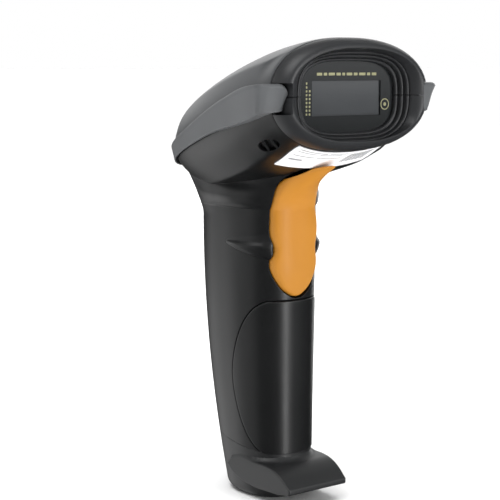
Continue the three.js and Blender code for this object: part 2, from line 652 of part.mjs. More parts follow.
// ---- screws ----
// a pan-head screw standing at the origin: its head above Z = 0, its shank below
function screw(length, { head, shank }) {
  return rod('z', head, 0, SCREW_HEAD_HEIGHT).add(rod('z', shank, -length, 0.4, [0, 0, 0], 10));
}
const HEAD_DOWN = Math.PI;
const HEAD_FORWARD = Math.PI / 2;

// ---- trigger ----
function trigger() {
  const heights = [70, 76, 82, 87, 92, 97, 102, 106, 110, 113, 116, 118, 120, 122];
  const form = handleForm(heights, 0, triggerProfile);
  const hollow = handleForm([66, ...heights, 124], TRIGGER_WALL, triggerProfile);
  const { y, z } = TRIGGER_PIVOT;
  const knuckle = rod('x', 2.5, -6.2, 6.2, [0, y, z]);
  const web = box(-4.5, 4.5, y - 12, y, z - 1.6, z + 1.6).intersect(form);
  const pusher = box(-1.4, 1.4, -15.4, PLUNGER.front - GAP, SWITCH.z - 4, SWITCH.z + 4).intersect(form);
  const underHead = headForm(SEAM, -1.15);
  return slabY(triggerOutline(0), -36, -9.5).intersect(form).subtract(hollow).subtract(underHead)
    .add(knuckle).add(web).add(pusher).subtract(rod('x', 1.6, -9, 9, [0, y, z]));
}

// torsion spring coiled on the trigger's pin
function triggerSpring() {
  const { y, z } = TRIGGER_PIVOT;
  const { radius, wire, turns, x, pitch, leg } = SPRING;
  const points = range(0, turns, turns * 10).map((turn) => {
    const angle = turn * 2 * Math.PI;
    return new THREE.Vector3(x + turn * pitch, y + radius * Math.cos(angle), z + radius * Math.sin(angle));
  });
  const end = points[points.length - 1];
  points.push(new THREE.Vector3(end.x + 0.1, end.y + 0.3, end.z - leg));
  const section = new THREE.Shape();
  section.absarc(0, 0, wire, 0, 2 * Math.PI);
  const extrudePath = new THREE.CatmullRomCurve3(points);
  return solid(new THREE.ExtrudeGeometry(section, { steps: 34, curveSegments: 3, extrudePath }));
}

// ---- rating label, a film that follows the underside of the head ----
function ratingLabel() {
  const sheet = headForm(SEAM, -0.75).subtract(headForm(-1, -0.35));
  return sheet.intersect(box(-19.5, 19.5, HEAD_Y + 1.2, HEAD_Y + 14.5, 100, 130));
}

// ---- scan engine ----
function engineChassis() {
  const { front, back, half, floor, wallTop, wall, plate } = ENGINE;
  const pivot = [MIRROR_PIVOT.x, MIRROR_PIVOT.y, 0];
  let tray = box(-half, half, front, back, floor, floor + plate)
    .add(box(-half, -half + wall, front, back, floor, wallTop))
    .add(box(half - wall, half, front, back, floor, wallTop))
    .add(box(-half, half, back - wall, back, floor, wallTop));
  // cradle of the laser tube
  tray = tray.add(box(-12.4, -7.4, -21.6, -13.4, floor, BEAM_Z))
    .subtract(rod('x', 3.35, -13, -6.5, [0, MIRROR_PIVOT.y, BEAM_Z], 20));
  // open corners over the screws
  for (const side of bothSides) {
    const x = side * ENGINE_SCREW.x;
    tray = tray.subtract(rod('z', 1.2, floor - 2, floor + 4, [x, ENGINE_SCREW.y, 0], 12))
      .subtract(box(x - 2.3, x + 2.3, ENGINE_SCREW.y - 2.3, back + 1, floor + plate, wallTop + 1));
  }
  // boss of the mirror's pivot pin
  return tray.add(rod('z', 1.9, floor, floor + 3.4, pivot))
    .subtract(rod('z', MIRROR_PIVOT.pinRadius + 0.05, floor - 1, floor + 5, pivot, 12));
}

function engineBoard() {
  const { front, back, half, floor } = ENGINE;
  const top = floor - GAP;
  const under = top - 1.2;
  return box(-half, half, front, back - 4.6, under, top)
    .add(box(-6, 1, -26, -19, under - 1.2, under + 0.1))
    .add(box(4, 11, -28, -24, under - 1.0, under + 0.1));
}

function laserModule() {
  const axis = [0, MIRROR_PIVOT.y, BEAM_Z];
  return rod('x', 3.2, -12.4, -6.2, axis, 20).add(rod('x', 2.2, -6.4, -5.0, axis, 16))
    .subtract(rod('x', 1.0, -7.2, -4, axis, 12));
}

// dish facing the scan mirror, pierced for the outgoing beam
function collectorMirror() {
  const bowl = new THREE.SphereGeometry(30, 40, 24).translate(27.2, MIRROR_PIVOT.y, BEAM_Z);
  return box(-4.0, -1.8, -24.5, -10.5, 136.2, 146.8).subtract(solid(bowl))
    .subtract(rod('x', 1.3, -5, 0, [0, MIRROR_PIVOT.y, BEAM_Z], 12));
}

// flat mirror on a sleeve that turns on the pin
function scanMirror() {
  const sleeve = rod('z', 1.7, 136.8, 146);
  const bridge = box(-2, 2, -1.8, -1.2, 138, 145);
  return box(-6, 6, -2.6, -1.6, 137.2, 146.2).add(sleeve).add(bridge)
    .subtract(rod('z', MIRROR_PIVOT.pinRadius + 0.1, 130, 150, [0, 0, 0], 12));
}
const driveCoil = () => rod('y', 3.6, 6.0, 8.2, [0, 0, BEAM_Z], 20)
  .subtract(rod('y', 1.8, 5, 9, [0, 0, BEAM_Z]));
const photodiode = () => box(5.2, 12.4, -29.6, -28.6, 135.2, 144.8)
  .add(box(6.4, 11.2, -28.8, -27.6, 138.4, 143.4));

// ---- boards, beeper, switch, ribbon ----
// tilted with the head, narrower towards the rear, made in the head's own frame
function mainBoard() {
  const outline = [[-20, 40], [20, 40], [17.5, 60], [11, 74], [-11, 74], [-17.5, 60]];
  let board = slabZ(outline, 0, BOARD)
    .add(box(-6, 6, 50, 62, BOARD - 0.1, BOARD + 1.8))
    .add(box(7, 13, 50, 57, BOARD - 0.1, BOARD + 1.4))
    .add(box(-12, -8, 44, 50, BOARD - 0.1, BOARD + 2.6))
    .add(box(-4, 4, 66, 72, -2.4, 0.1));
  for (const side of bothSides) {
    const hole = [side * MAIN_BOARD_SCREW.x, MAIN_BOARD_SCREW.d, 0];
    board = board.subtract(rod('z', BOARD_HOLE, -1, 3, hole, 12));
  }
  return board;
}
const statusLed = () => box(-1.6, 1.6, 66.8, 68.8, BOARD + GAP, BOARD + 2.6);

function beeper() {
  const { x, y, z, radius, depth } = BEEPER;
  const mouth = rod('x', 1.1, x + depth - 1.2, x + depth + 1, [0, y, z], 12);
  return rod('x', radius, x, x + depth, [0, y, z], 20).subtract(mouth);
}

function handleBoard() {
  const front = 3.2;
  const back = front + BOARD;
  let board = box(-10.5, 10.5, front, back, 22, 97)
    .add(box(-5, 5, front - BOARD, front + 0.1, 50, 60))
    .add(box(-4, 4, back - 0.1, back + 2, 42, 50))
    .add(box(-7, 7, front - 1.6, front + 0.1, 23, 28));
  for (const z of Object.values(HANDLE_BOARD_SCREW_Z)) {
    board = board.subtract(rod('y', BOARD_HOLE, 0, 8, [0, 0, z], 12));
  }
  return board;
}

function switchBody() {
  const { z, front, back, half, bore } = SWITCH;
  return box(-half, half, front, back, z - half, z + half)
    .subtract(rod('y', bore, front - 1, -0.4, [0, 0, z]));
}
const switchPlunger = () => rod('y', PLUNGER.radius, PLUNGER.front, PLUNGER.back, [0, 0, SWITCH.z]);

// flat cable from the handle board up to the main board
function ribbon() {
  const side = [[7.2, 97.8], [7.2, 107], [9.5, 116], [12.4, 119.9], [12.9, 119.4], [10.2, 115.6],
    [7.9, 106.8], [7.9, 97.8]];
  return slabX(side, -6, 6);
}

// ---- assembly ----
const wholeBezel = bezel();
place('top_cover', topCover(), 'cover');
place('status_light_pipe', lightPipe(), 'lightPipe');
place('lower_housing', lowerHousing(), 'housing');
place('nose_bezel_upper',
  wholeBezel.intersect(box(-60, 60, -60, -30, BEZEL_SPLIT_Z + SEAM, 200)), 'bezel');
place('nose_bezel_lower',
  wholeBezel.intersect(box(-60, 60, -60, -30, 100, BEZEL_SPLIT_Z - SEAM)), 'bezel');
place('scan_window', windowPane(), 'window');
place('window_gasket', windowGasket(), 'gasket');
place('bumper_band', bumperPlan().intersect(bumperSide()), 'bumper', headFrame);
place('front_grip_panel', gripPanel(), 'housing');
place('base_cap', baseCap(), 'cover');
place('cable_socket', socketHousing(), 'blackPart');
place('socket_contacts', socketContacts(), 'brass');
place('rating_label', ratingLabel(), 'label');

const pin = [0, TRIGGER_PIVOT.y, TRIGGER_PIVOT.z];
const { pinRadius, pinHalfLength } = TRIGGER_PIVOT;
place('trigger', trigger(), 'trigger');
place('trigger_spring', triggerSpring(), 'steel');
place('trigger_pin', rod('x', pinRadius, -pinHalfLength, pinHalfLength, pin), 'steel');
place('switch_body', switchBody(), 'blackPart');
place('switch_plunger', switchPlunger(), 'bumper');

place('engine_chassis', engineChassis(), 'dieCast');
place('engine_board', engineBoard(), 'board');
place('laser_module', laserModule(), 'brass');
place('collector_mirror', collectorMirror(), 'mirror');
place('scan_mirror', scanMirror(), 'mirror', mirrorFrame);
place('mirror_magnet', box(-2.4, 2.4, 2.0, 4.2, 139, 144), 'steel', mirrorFrame);
place('drive_coil', driveCoil(), 'copper', mirrorFrame);
place('mirror_pivot_pin',
  rod('z', MIRROR_PIVOT.pinRadius, ENGINE.floor + 0.2, 146.4, [0, 0, 0], 12), 'steel', mirrorFrame);
place('photodiode', photodiode(), 'blackPart');

place('main_board', mainBoard(), 'board', headFrame).position.z = MAIN_BOARD_H;
place('status_led', statusLed(), 'lightPipe', headFrame).position.z = MAIN_BOARD_H;
place('beeper', beeper(), 'blackPart');
place('handle_board', handleBoard(), 'board');
place('ribbon_cable', ribbon(), 'flatCable');

for (const [name, side] of [['left', -1], ['right', 1]]) {
  const engine = place(`engine_screw_${name}`, screw(ENGINE_SCREW.length, SMALL_SCREW), 'steel');
  engine.position.set(side * ENGINE_SCREW.x, ENGINE_SCREW.y, ENGINE.floor + ENGINE.plate + 0.1);
  const board = place(`main_board_screw_${name}`,
    screw(MAIN_BOARD_SCREW.length, SMALL_SCREW), 'steel', headFrame);
  board.position.set(side * MAIN_BOARD_SCREW.x, MAIN_BOARD_SCREW.d, MAIN_BOARD_H + BOARD + 0.1);
  const cover = place(`cover_screw_${name}`, screw(COVER_SCREW.length, LARGE_SCREW), 'steel');
  cover.position.set(side * COVER_SCREW.x, COVER_SCREW.y, COVER_SCREW.seat);
  cover.rotation.x = HEAD_DOWN;
}
for (const [name, z] of Object.entries(HANDLE_BOARD_SCREW_Z)) {
  const mesh = place(`handle_board_screw_${name}`,
    screw(HANDLE_BOARD_SCREW_LENGTH, SMALL_SCREW), 'steel');
  mesh.position.set(0, 3.1, z);
  mesh.rotation.x = HEAD_FORWARD;
}
const baseScrew = place('base_screw', screw(BASE_SCREW.length, SMALL_SCREW), 'steel');
baseScrew.position.set(0, BASE_SCREW.y, BASE_SCREW.seat);
baseScrew.rotation.x = HEAD_DOWN;

export default group;
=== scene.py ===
"""The visible model of the handheld barcode scanner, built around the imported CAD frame."""
import json
import math

import bpy
import numpy as np
from mathutils import Matrix, Vector

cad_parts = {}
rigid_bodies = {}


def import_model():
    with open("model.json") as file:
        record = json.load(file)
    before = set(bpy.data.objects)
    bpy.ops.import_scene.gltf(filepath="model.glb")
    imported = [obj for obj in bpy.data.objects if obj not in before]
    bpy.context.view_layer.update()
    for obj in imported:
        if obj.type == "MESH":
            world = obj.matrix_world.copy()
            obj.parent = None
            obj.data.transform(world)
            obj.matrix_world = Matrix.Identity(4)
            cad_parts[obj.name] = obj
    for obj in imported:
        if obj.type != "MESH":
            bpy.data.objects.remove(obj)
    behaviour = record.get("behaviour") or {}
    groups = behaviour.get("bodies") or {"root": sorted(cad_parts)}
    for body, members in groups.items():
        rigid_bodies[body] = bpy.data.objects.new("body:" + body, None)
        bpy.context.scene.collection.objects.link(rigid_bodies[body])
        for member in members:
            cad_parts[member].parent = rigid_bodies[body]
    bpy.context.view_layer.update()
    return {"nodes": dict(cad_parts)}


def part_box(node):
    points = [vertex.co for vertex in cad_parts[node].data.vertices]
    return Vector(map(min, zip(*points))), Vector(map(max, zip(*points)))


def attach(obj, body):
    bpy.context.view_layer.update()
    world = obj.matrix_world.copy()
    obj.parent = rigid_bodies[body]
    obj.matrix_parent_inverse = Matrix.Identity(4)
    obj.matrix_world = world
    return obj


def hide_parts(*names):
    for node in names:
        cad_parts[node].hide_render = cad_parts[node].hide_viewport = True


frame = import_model()
HOUSING = "housing"
TRIGGER = "trigger_lever"

# ---- driving dimensions, in millimetres, in the frame's own axes ----
MM = 0.001
SHARP = math.radians(32)
GAP = 0.3
SEAM = 0.15


def node_box(name):
    low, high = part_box(name)
    return np.array(low) / MM, np.array(high) / MM


BEZEL_LOW, BEZEL_HIGH = node_box("nose_bezel_upper")
BAND_HIGH = node_box("bumper_band")[1]
SOCKET_LOW, SOCKET_HIGH = node_box("cable_socket")

HEAD_PITCH = math.radians(16)
HEAD_Y = BEZEL_HIGH[1]
HEAD_Z = 145.2
HEAD_LENGTH = 90.5
HEAD_HALF_WIDTH = BEZEL_HIGH[0]
HEAD_TOP, HEAD_BOTTOM = 20.6, 21.4
NOSE_TOP, NOSE_BOTTOM = 17.2, 18.7
CREASE = (0.86, 0.61)
CHINE = (24.5, 0.85)
OVAL = 2.3
WALL = 2.3

RIM_DEPTH = HEAD_Y - BEZEL_LOW[1]
RIM_INSET = 3.4
FUNNEL = dict(half=24.7, top=158.8, bottom=128.5)
WINDOW = dict(half=20.3, top=155.4, bottom=131.8)
FUNNEL_FRONT = -43.6
FUNNEL_BACK = -39.7
RIBS = 3
SPLIT_Z = 144.0
SQUARENESS = 3.2
NOTCH = dict(x=28.5, low=138.4, high=148.4)
APERTURE = dict(half=15.0, low=137.4, high=149.0)

BUMPER_PROUD = BAND_HIGH[0] - HEAD_HALF_WIDTH
BUMPER_PROUD_REAR = 1.3

HANDLE_TOP = 98.7
HANDLE_FRONT, HANDLE_REAR = -13.2, 31.2
HANDLE_HALF = 16.9
HANDLE_OVAL = 2.4
COLLAR_REAR, COLLAR_FRONT = 104.6, 104.4
COLLAR_ROLL = 2.5
COLLAR_TUCK = 2.0
TIP_SPREAD = 1.8
NECK_TOP = 119.0
PANEL = dict(y=-11.0, z=44.5, depth=14.8, rise=27.4, fall=28.5, roundness=1.65, thickness=2.0)
PANEL_AXIS = (0, 6, 44), (0, -60, 44)
PLUG_DEPTH, PLUG_REACH = -3.2, 22.0
BASE_SEAM = (16.0, 0.139)
BASE_ROUND = 3.4
BASE_SCREW_Y = 12.6
SEAM_FLOOR = -43.0
LIP = dict(front=-11.6, rear=5.6, nose=2.4, proud=1.6, level=90.0, top=(93.2, 96.6),
           middle=(92.6, 91.4), low=(91.6, 86.4))
TRIGGER_GAP = 0.45
BLADE = dict(low=73.1, high=120.4, thickness=2.5, rounding=1.5, swell=1.5, head_gap=1.15)
PIN_RADIUS, PIN_BORE, PIN_HALF = 1.5, 1.6, 9.4
SOUND_PORT = dict(d=9.8, h=-14.2, length=8.2, height=4.8, bar=0.4, spread=1.7)
LENS = dict(d=62.0, radius=4.0, stem=1.5, lamp_top=124.7)
FOOT = dict(front=-26.0, half=(13.0, 14.7), lip=0.62, edge=0.5, cove=2.2)
LABEL_SHEET = dict(half=19.4, front=1.3, back=14.4, under=0.12, face=0.42)
PRINT_DEPTH = (0.3, 0.48)


# ---- arithmetic ----
def smooth(x):
    t = np.clip(x, 0, 1)
    return t * t * (3 - 2 * t)


def mix(a, b, t):
    return a + (b - a) * t


def power(x, n):
    return np.sign(x) * np.abs(x) ** n


def bezier(p0, p1, p2, t):
    k = 1 - t
    return [k * k * a + 2 * k * t * b + t * t * c for a, b, c in zip(p0, p1, p2)]


def shoulder(radius, steps):
    """A quarter round from a wall to the surface, as (along the surface, below it) steps."""
    return [(radius * (1 - math.cos(a)), -radius * (1 - math.sin(a)))
            for a in np.linspace(0, math.pi / 2, steps)]


def xyz(x, y, z):
    """Points from their coordinates; a single number serves every point."""
    return np.stack(np.broadcast_arrays(x, y, z), -1)


def full_turn(steps):
    return np.arange(steps) * 2 * math.pi / steps


def run_length(points):
    """The length of a line up to each of its points."""
    return np.concatenate([[0], np.cumsum(np.linalg.norm(np.diff(points, axis=0), axis=1))])


def resample(line, run, at):
    """Points of a line at places along it; run says how far along its own points are."""
    return np.stack([np.interp(at, run, column) for column in line.T], 1)


# ---- solids: scratch meshes in millimetres, cut and joined before they become pieces ----
scratch = bpy.data.collections.new("scratch")
bpy.context.scene.collection.children.link(scratch)


def solid(points, faces):
    points = np.asarray(points, float)
    corners = points[np.array([f[:3] for f in faces])]
    volume = np.einsum("ij,ij->i", corners[:, 0], np.cross(corners[:, 1], corners[:, 2])).sum()
    mesh = bpy.data.meshes.new("scratch")
    mesh.from_pydata(points.tolist(), [], [f if volume > 0 else f[::-1] for f in faces])
    made = bpy.data.objects.new("scratch", mesh)
    scratch.objects.link(made)
    return made


def loft(rings, closed=False, apexes=None):
    """A solid through rings of equal point count. Ends close on their own middle or on given apexes."""
    rings = np.asarray(rings, float)
    count, n = rings.shape[:2]
    here = np.arange(n)
    after = (here + 1) % n
    faces = []
    for i in range(count if closed else count - 1):
        a = i * n
        b = ((i + 1) % count) * n
        faces += np.stack([a + here, a + after, b + after, b + here], 1).tolist()
    points = rings.reshape(-1, 3)
    if not closed:
        ends = apexes if apexes is not None else (rings[0].mean(0), rings[-1].mean(0))
        points = np.vstack([points, ends])
        last = (count - 1) * n
        faces += [[count * n, int(k), int(j)] for j, k in zip(here, after)]
        faces += [[count * n + 1, int(last + j), int(last + k)] for j, k in zip(here, after)]
    return solid(points, faces)


def combine(first, operation, others):
    for other in others:
        step = first.modifiers.new(operation, "BOOLEAN")
        step.operation = operation
        step.solver = "MANIFOLD"
        step.object = other
    evaluated = first.evaluated_get(bpy.context.evaluated_depsgraph_get())
    mesh = bpy.data.meshes.new_from_object(evaluated)
    first.modifiers.clear()
    first.data = mesh
    return first


def gather(parts):
    """Separate solids as one object."""
    points, faces = [], []
    for part in parts:
        faces += [[v + len(points) for v in f.vertices] for f in part.data.polygons]
        points += [tuple(v.co) for v in part.data.vertices]
    made = parts[0]
    made.data = bpy.data.meshes.new("scratch")
    made.data.from_pydata(points, [], faces)
    return made


def cut(first, *others):
    return combine(first, "DIFFERENCE", others)


def join(first, *others):
    return combine(first, "UNION", others)


def common(first, *others):
    return combine(first, "INTERSECT", others)


def copy(made):
    again = made.copy()
    again.data = made.data.copy()
    scratch.objects.link(again)
    return again


def box(x0, x1, y0, y1, z0, z1):
    ring = [(x0, y0), (x1, y0), (x1, y1), (x0, y1)]
    return loft([[(x, y, z) for x, y in ring] for z in (z0, z1)])


def rounded_ring(u0, u1, v0, v1, radius, steps):
    """A rectangle's outline with rounded corners, as (u, v) points."""
    ring = []
    for u, v, start in [(u1 - radius, v1 - radius, 0), (u0 + radius, v1 - radius, 90),
                        (u0 + radius, v0 + radius, 180), (u1 - radius, v0 + radius, 270)]:
        for a in np.radians(np.linspace(start, start + 90, steps)):
            ring.append((u + radius * math.cos(a), v + radius * math.sin(a)))
    return ring


def rounded_box(x0, x1, y0, y1, z0, z1, radius, axis="z"):
    """A box whose four edges along one axis are rounded."""
    spans = {"z": (x0, x1, y0, y1, z0, z1), "y": (x0, x1, z0, z1, y0, y1), "x": (y0, y1, z0, z1, x0, x1)}
    *sides, w0, w1 = spans[axis]
    order = {"z": (0, 1, 2), "y": (0, 2, 1), "x": (2, 0, 1)}[axis]
    ring = rounded_ring(*sides, radius, 9)
    return loft([[[(u, v, w)[k] for k in order] for u, v in ring] for w in (w0, w1)])


def rod(axis, radius, low, high, centre=(0, 0, 0), steps=48):
    angles = full_turn(steps)
    first, second = {"x": (1, 2), "y": (2, 0), "z": (0, 1)}[axis]
    rings = []
    for level in (low, high):
        ring = np.tile(np.array(centre, float), (steps, 1))
        ring[:, first] += radius * np.cos(angles)
        ring[:, second] += radius * np.sin(angles)
        ring[:, "xyz".index(axis)] = level
        rings.append(ring)
    return loft(rings)


def lathe(profile, centre, steps=64):
    """A solid turned about a vertical line, from (radius, height) points."""
    angles = full_turn(steps)
    rings = [xyz(centre[0] + r * np.cos(angles), centre[1] + r * np.sin(angles), centre[2] + z)
             for r, z in profile]
    return loft(rings)


def paint(made, material):
    made.data.materials.clear()
    made.data.materials.append(material)


def piece(made, name, material, slot, *nodes, body=HOUSING):
    """Turns a solid into a visible piece: metres, smooth shading, material, body and what it replaces."""
    scratch.objects.unlink(made)
    bpy.context.scene.collection.objects.link(made)
    made.name = made.data.name = name
    made.data.transform(Matrix.Scale(MM, 4))
    made.data.shade_smooth()
    made.data.set_sharp_from_angle(angle=SHARP)
    paint(made, material)
    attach(made, body)
    if nodes:
        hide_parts(*nodes)


# ---- scan head form ----
def head_width(d):
    u = np.clip((d - 12) / (HEAD_LENGTH - 12), 0, 1)
    return HEAD_HALF_WIDTH * (1 - u ** 2.1) ** (1 / 2.1)


def head_top(d):
    u = np.clip((d - 24) / (HEAD_LENGTH - 24), 0, 1)
    rise = 1 - (1 - np.clip(d / 22, 0, 1)) ** 2
    return mix(NOSE_TOP, HEAD_TOP, rise) * (1 - u ** 2) ** (1 / 1.65)


def head_bottom(d):
    u = np.clip((d - 30) / (HEAD_LENGTH - 30), 0, 1)
    return mix(NOSE_BOTTOM, HEAD_BOTTOM, smooth(d / 30)) * (1 - u ** 2) ** (1 / 2.4)


def chine_x(d):
    return CHINE[0] * (1 - np.clip((d - 18) / (HEAD_LENGTH - 18), 0, 1) ** 2.4)


def chine_h(d):
    return CHINE[1] + 0.1 * np.clip((d - 20) / (HEAD_LENGTH - 20), 0, 1) ** 0.9


def pitched(x, along, h):
    """A place from the tilted head's own axes: x across, along its axis, h above it."""
    s, c = math.sin(HEAD_PITCH), math.cos(HEAD_PITCH)
    return xyz(x, HEAD_Y + along * c + h * s, HEAD_Z - along * s + h * c)


def head_point(x, d, h):
    """A place in the head: x across, d back from the upright nose seam, h above its axis."""
    return pitched(x, d - h * math.tan(HEAD_PITCH) * (1 - smooth(d / 30)), h)


def head_quarter(width, reach, corner, lift, spread, t):
    outer = bezier((width, 0), (width, corner[1] * lift), corner, t * 2)
    inner = bezier(corner, (corner[0] * spread, reach), (0, reach), t * 2 - 1)
    return [np.where(t < 0.5, a, b) for a, b in zip(outer, inner)]


FINE = 720


def head_section(d, shrink, soften=2.0, keep=3):
    """One section of the head, its crease and chine rounded, as x and h."""
    q = np.arange(FINE) * 4 / FINE
    width = max(head_width(d) - shrink, 0.01)
    top = max(head_top(d) - shrink, 0.01)
    bottom = max(head_bottom(d) - shrink, 0.01)
    c, s = np.cos(q * math.pi / 2), np.sin(q * math.pi / 2)
    plain = width * power(c, 2 / OVAL), np.where(s > 0, top, bottom) * power(s, 2 / OVAL)
    t = 1 - np.abs(1 - q % 2)
    side = np.where((q <= 1) | (q > 3), 1, -1)
    crease = (CREASE[0] * width, CREASE[1] * top)
    chine = (max(chine_x(d) - shrink * 0.7, 0), -chine_h(d) * bottom)
    over = head_quarter(width, top, crease, 0.4, 0.55, t)
    under = head_quarter(width, -bottom, chine, 0.55, 0.5, t)
    upper = q <= 2
    blend = np.where(upper, smooth(d / 10), smooth(d / 14))
    x = mix(plain[0], side * np.where(upper, over[0], under[0]), blend)
    h = mix(plain[1], np.where(upper, over[1], under[1]), blend)
    reach = np.arange(-14, 15)
    weights = np.exp(-(reach / soften) ** 2 / 2)
    weights /= weights.sum()
    rounded = [sum(w * np.roll(v, k) for k, w in zip(reach, weights)) for v in (x, h)]
    return rounded[0][::keep], rounded[1][::keep]


def head_form(start, shrink, edge=0.0, stations=130, keep=3):
    """The head as a solid, smaller all round by shrink, with a rounded front edge."""
    end = HEAD_LENGTH - shrink
    levels = [(start + edge * (1 - math.cos(a)), shrink + edge * (1 - math.sin(a)))
              for a in np.linspace(0, math.pi / 2, 7)[:-1]] if edge else []
    for u in np.linspace(0, 1, stations + 1):
        d = start + edge + (end - start - edge) * (1 - (1 - u) ** 1.6)
        levels.append((d, shrink))
    rings = []
    for d, inset in levels:
        form = min(d + shrink * max(d - start, 0) / (end - start), HEAD_LENGTH - 0.02)
        x, h = head_section(form, inset, keep=keep)
        rings.append(head_point(x, d, h))
    return loft(rings)


def head_slab(low, high):
    made = box(-60, 60, -10, 110, low, high)
    made.data.transform(Matrix.Translation((0, HEAD_Y, HEAD_Z)) @ Matrix.Rotation(-HEAD_PITCH, 4, "X"))
    return made


# ---- handle form ----
def handle_profile(z):
    """At height z: the outline's middle, its reach front and back, its half width, and the neck's keel."""
    u = np.clip(z / HANDLE_TOP, 0, 1)
    front = HANDLE_FRONT - u ** 2
    rear = HANDLE_REAR - 14.3 * (1 - u) ** 2.2 + 12 * np.clip((z - 101) / 15, 0, 2) ** 1.25
    half = HANDLE_HALF - 3.5 * (1 - u) ** 1.5
    keel = 15.8 * np.clip((z - 103) / 16, 0, 1.1) ** 2
    return (front + rear) / 2, (rear - front) / 2, half, keel


def collar(c, z):
    """How far the roll above the handle stands out; c is 1 at the front and -1 at the rear."""
    crease = mix(COLLAR_REAR, COLLAR_FRONT, smooth((c + 0.6) / 1.2))
    forward = smooth((c + 0.75) / 1.1)
    roll = COLLAR_ROLL * (1 - np.exp(-np.clip(z - crease, 0, 40) / 1.5))
    return forward * (roll - COLLAR_TUCK * smooth((z - 108.5) / 5.5))


def handle_points(angle, z, inset=0.0):
    """Points of the handle's surface at angles from the front, at heights z."""
    middle, reach, half, keel = handle_profile(z)
    c, s = np.cos(angle), np.sin(angle)
    half = half + collar(c, z) - inset
    x = half * power(s, 2 / HANDLE_OVAL)
    forward = np.where(c > 0, keel * np.exp(-((x / 8) ** 2)), 0)
    y = middle - (reach - inset) * power(c, 2 / HANDLE_OVAL) - forward
    return xyz(x, y, z)


def oval(u):
    """The height, from 1 to 0, of the handle's oval at a share u of its half width."""
    return (1 - u ** HANDLE_OVAL) ** (1 / HANDLE_OVAL)


def handle_side(y, z):
    """How far out the handle's side is at a place seen from the side."""
    middle, reach, half, _ = handle_profile(z)
    return half * oval(np.clip(np.abs(middle - y) / reach, 0, 1))


def around(count):
    """Angles round the handle, spread evenly along its outline."""
    fine = np.linspace(0, 2 * math.pi, 4001)
    ring = handle_points(fine, 60.0)
    run = run_length(ring)
    return np.interp(np.arange(count) * run[-1] / count, run, fine)


def handle_form(heights, inset=0.0, count=220, tuck=None):
    angles = around(count)
    rings = []
    for z in heights:
        extra = tuck(z) if tuck else 0.0
        rings.append(handle_points(angles, float(z), inset + extra))
    return loft(rings)


def base_seam(y):
    return BASE_SEAM[0] + BASE_SEAM[1] * (y - HANDLE_FRONT)


def surface_frame(points):
    """Outward normals of the handle at points on its surface."""
    angles = np.linspace(0, 2 * math.pi, 2881)[:-1]
    normals = []
    for x, y, z in points:
        ring = handle_points(angles, z)
        k = np.argmin((ring[:, 0] - x) ** 2 + (ring[:, 1] - y) ** 2)
        around_it = ring[(k + 3) % len(ring)] - ring[(k - 3) % len(ring)]
        up = handle_points(angles[k], z + 0.4) - handle_points(angles[k], z - 0.4)
        n = np.cross(around_it, up)
        normals.append(n / np.linalg.norm(n))
    return np.array(normals)


def panel_plug(levels):
    """A plug through the handle's surface, the shape of the grip panel. Levels are (outwards in the
    surface, along the normal) steps, so its wall can flare into a rounded edge."""
    loop = even(panel_loop(), 420)
    normals = surface_frame(loop)
    tangent = np.roll(loop, -1, 0) - np.roll(loop, 1, 0)
    tangent /= np.linalg.norm(tangent, axis=1)[:, None]
    outwards = np.cross(tangent, normals)
    if np.einsum("ij,ij->i", outwards, loop - loop.mean(0)).sum() < 0:
        outwards = -outwards
    rings = [loop + outwards * a + normals * b for a, b in levels]
    return loft(rings, apexes=PANEL_AXIS)


def opening_levels(gap, radius):
    """Steps for an opening: straight wall, rounded shoulder, then well clear of the surface."""
    arc = [(gap + along, below) for along, below in shoulder(radius, 6)]
    clear = gap + radius + 0.6
    return [(gap, PLUG_DEPTH), *arc, (clear, 1.2), (clear, PLUG_REACH)]


# ---- materials ----
def shader(name, base, roughness, coat=0.0, metallic=0.0, specular=0.5):
    material = bpy.data.materials.new(name)
    material.use_nodes = True
    nodes = material.node_tree.nodes
    bsdf = nodes["Principled BSDF"]
    plain = {"Base Color": (*base, 1), "Roughness": roughness, "Metallic": metallic,
             "Specular IOR Level": specular, "Coat Weight": coat}
    for key, value in plain.items():
        bsdf.inputs[key].default_value = value
    return material, nodes, bsdf


def add(nodes, kind, **values):
    """A shader node with its plain inputs set; an underscore stands for a space."""
    made = nodes.new("ShaderNode" + kind)
    for key, value in values.items():
        made.inputs[key.replace("_", " ")].default_value = value
    return made


def wire(source, out, target, into):
    source.id_data.links.new(source.outputs[out], target.inputs[into])


def linear(value):
    value /= 255
    return value / 12.92 if value <= 0.04045 else ((value + 0.055) / 1.055) ** 2.4


def plastic(name, seen, roughness, grain=0.00028, bump=0.05, tint=0.08, edge=0.00025, **more):
    """Moulded plastic: a fine spark-eroded grain, faint flow marks in colour and gloss, soft edges."""
    base = [linear(v) for v in seen]
    material, nodes, bsdf = shader(name, base, roughness, **more)
    where = add(nodes, "TexCoord")
    flow = add(nodes, "TexNoise", Scale=38, Detail=3)
    wire(where, "Object", flow, "Vector")
    ramp = add(nodes, "ValToRGB")
    for element, place, share in zip(ramp.color_ramp.elements, (0.3, 0.7), (1 - tint, 1 + tint)):
        element.position = place
        element.color = (*[c * share for c in base], 1)
    wire(flow, "Fac", ramp, "Fac")
    wire(ramp, "Color", bsdf, "Base Color")
    gloss = add(nodes, "MapRange", To_Min=roughness - 0.04, To_Max=roughness + 0.04)
    wire(flow, "Fac", gloss, "Value")
    wire(gloss, "Result", bsdf, "Roughness")
    pits = add(nodes, "TexNoise", Scale=1 / grain, Detail=2)
    wire(where, "Object", pits, "Vector")
    relief = add(nodes, "Bump", Strength=bump, Distance=0.0002)
    wire(pits, "Fac", relief, "Height")
    if edge:
        soft = add(nodes, "Bevel", Radius=edge)
        soft.samples = 6
        wire(soft, "Normal", relief, "Normal")
    wire(relief, "Normal", bsdf, "Normal")
    return material


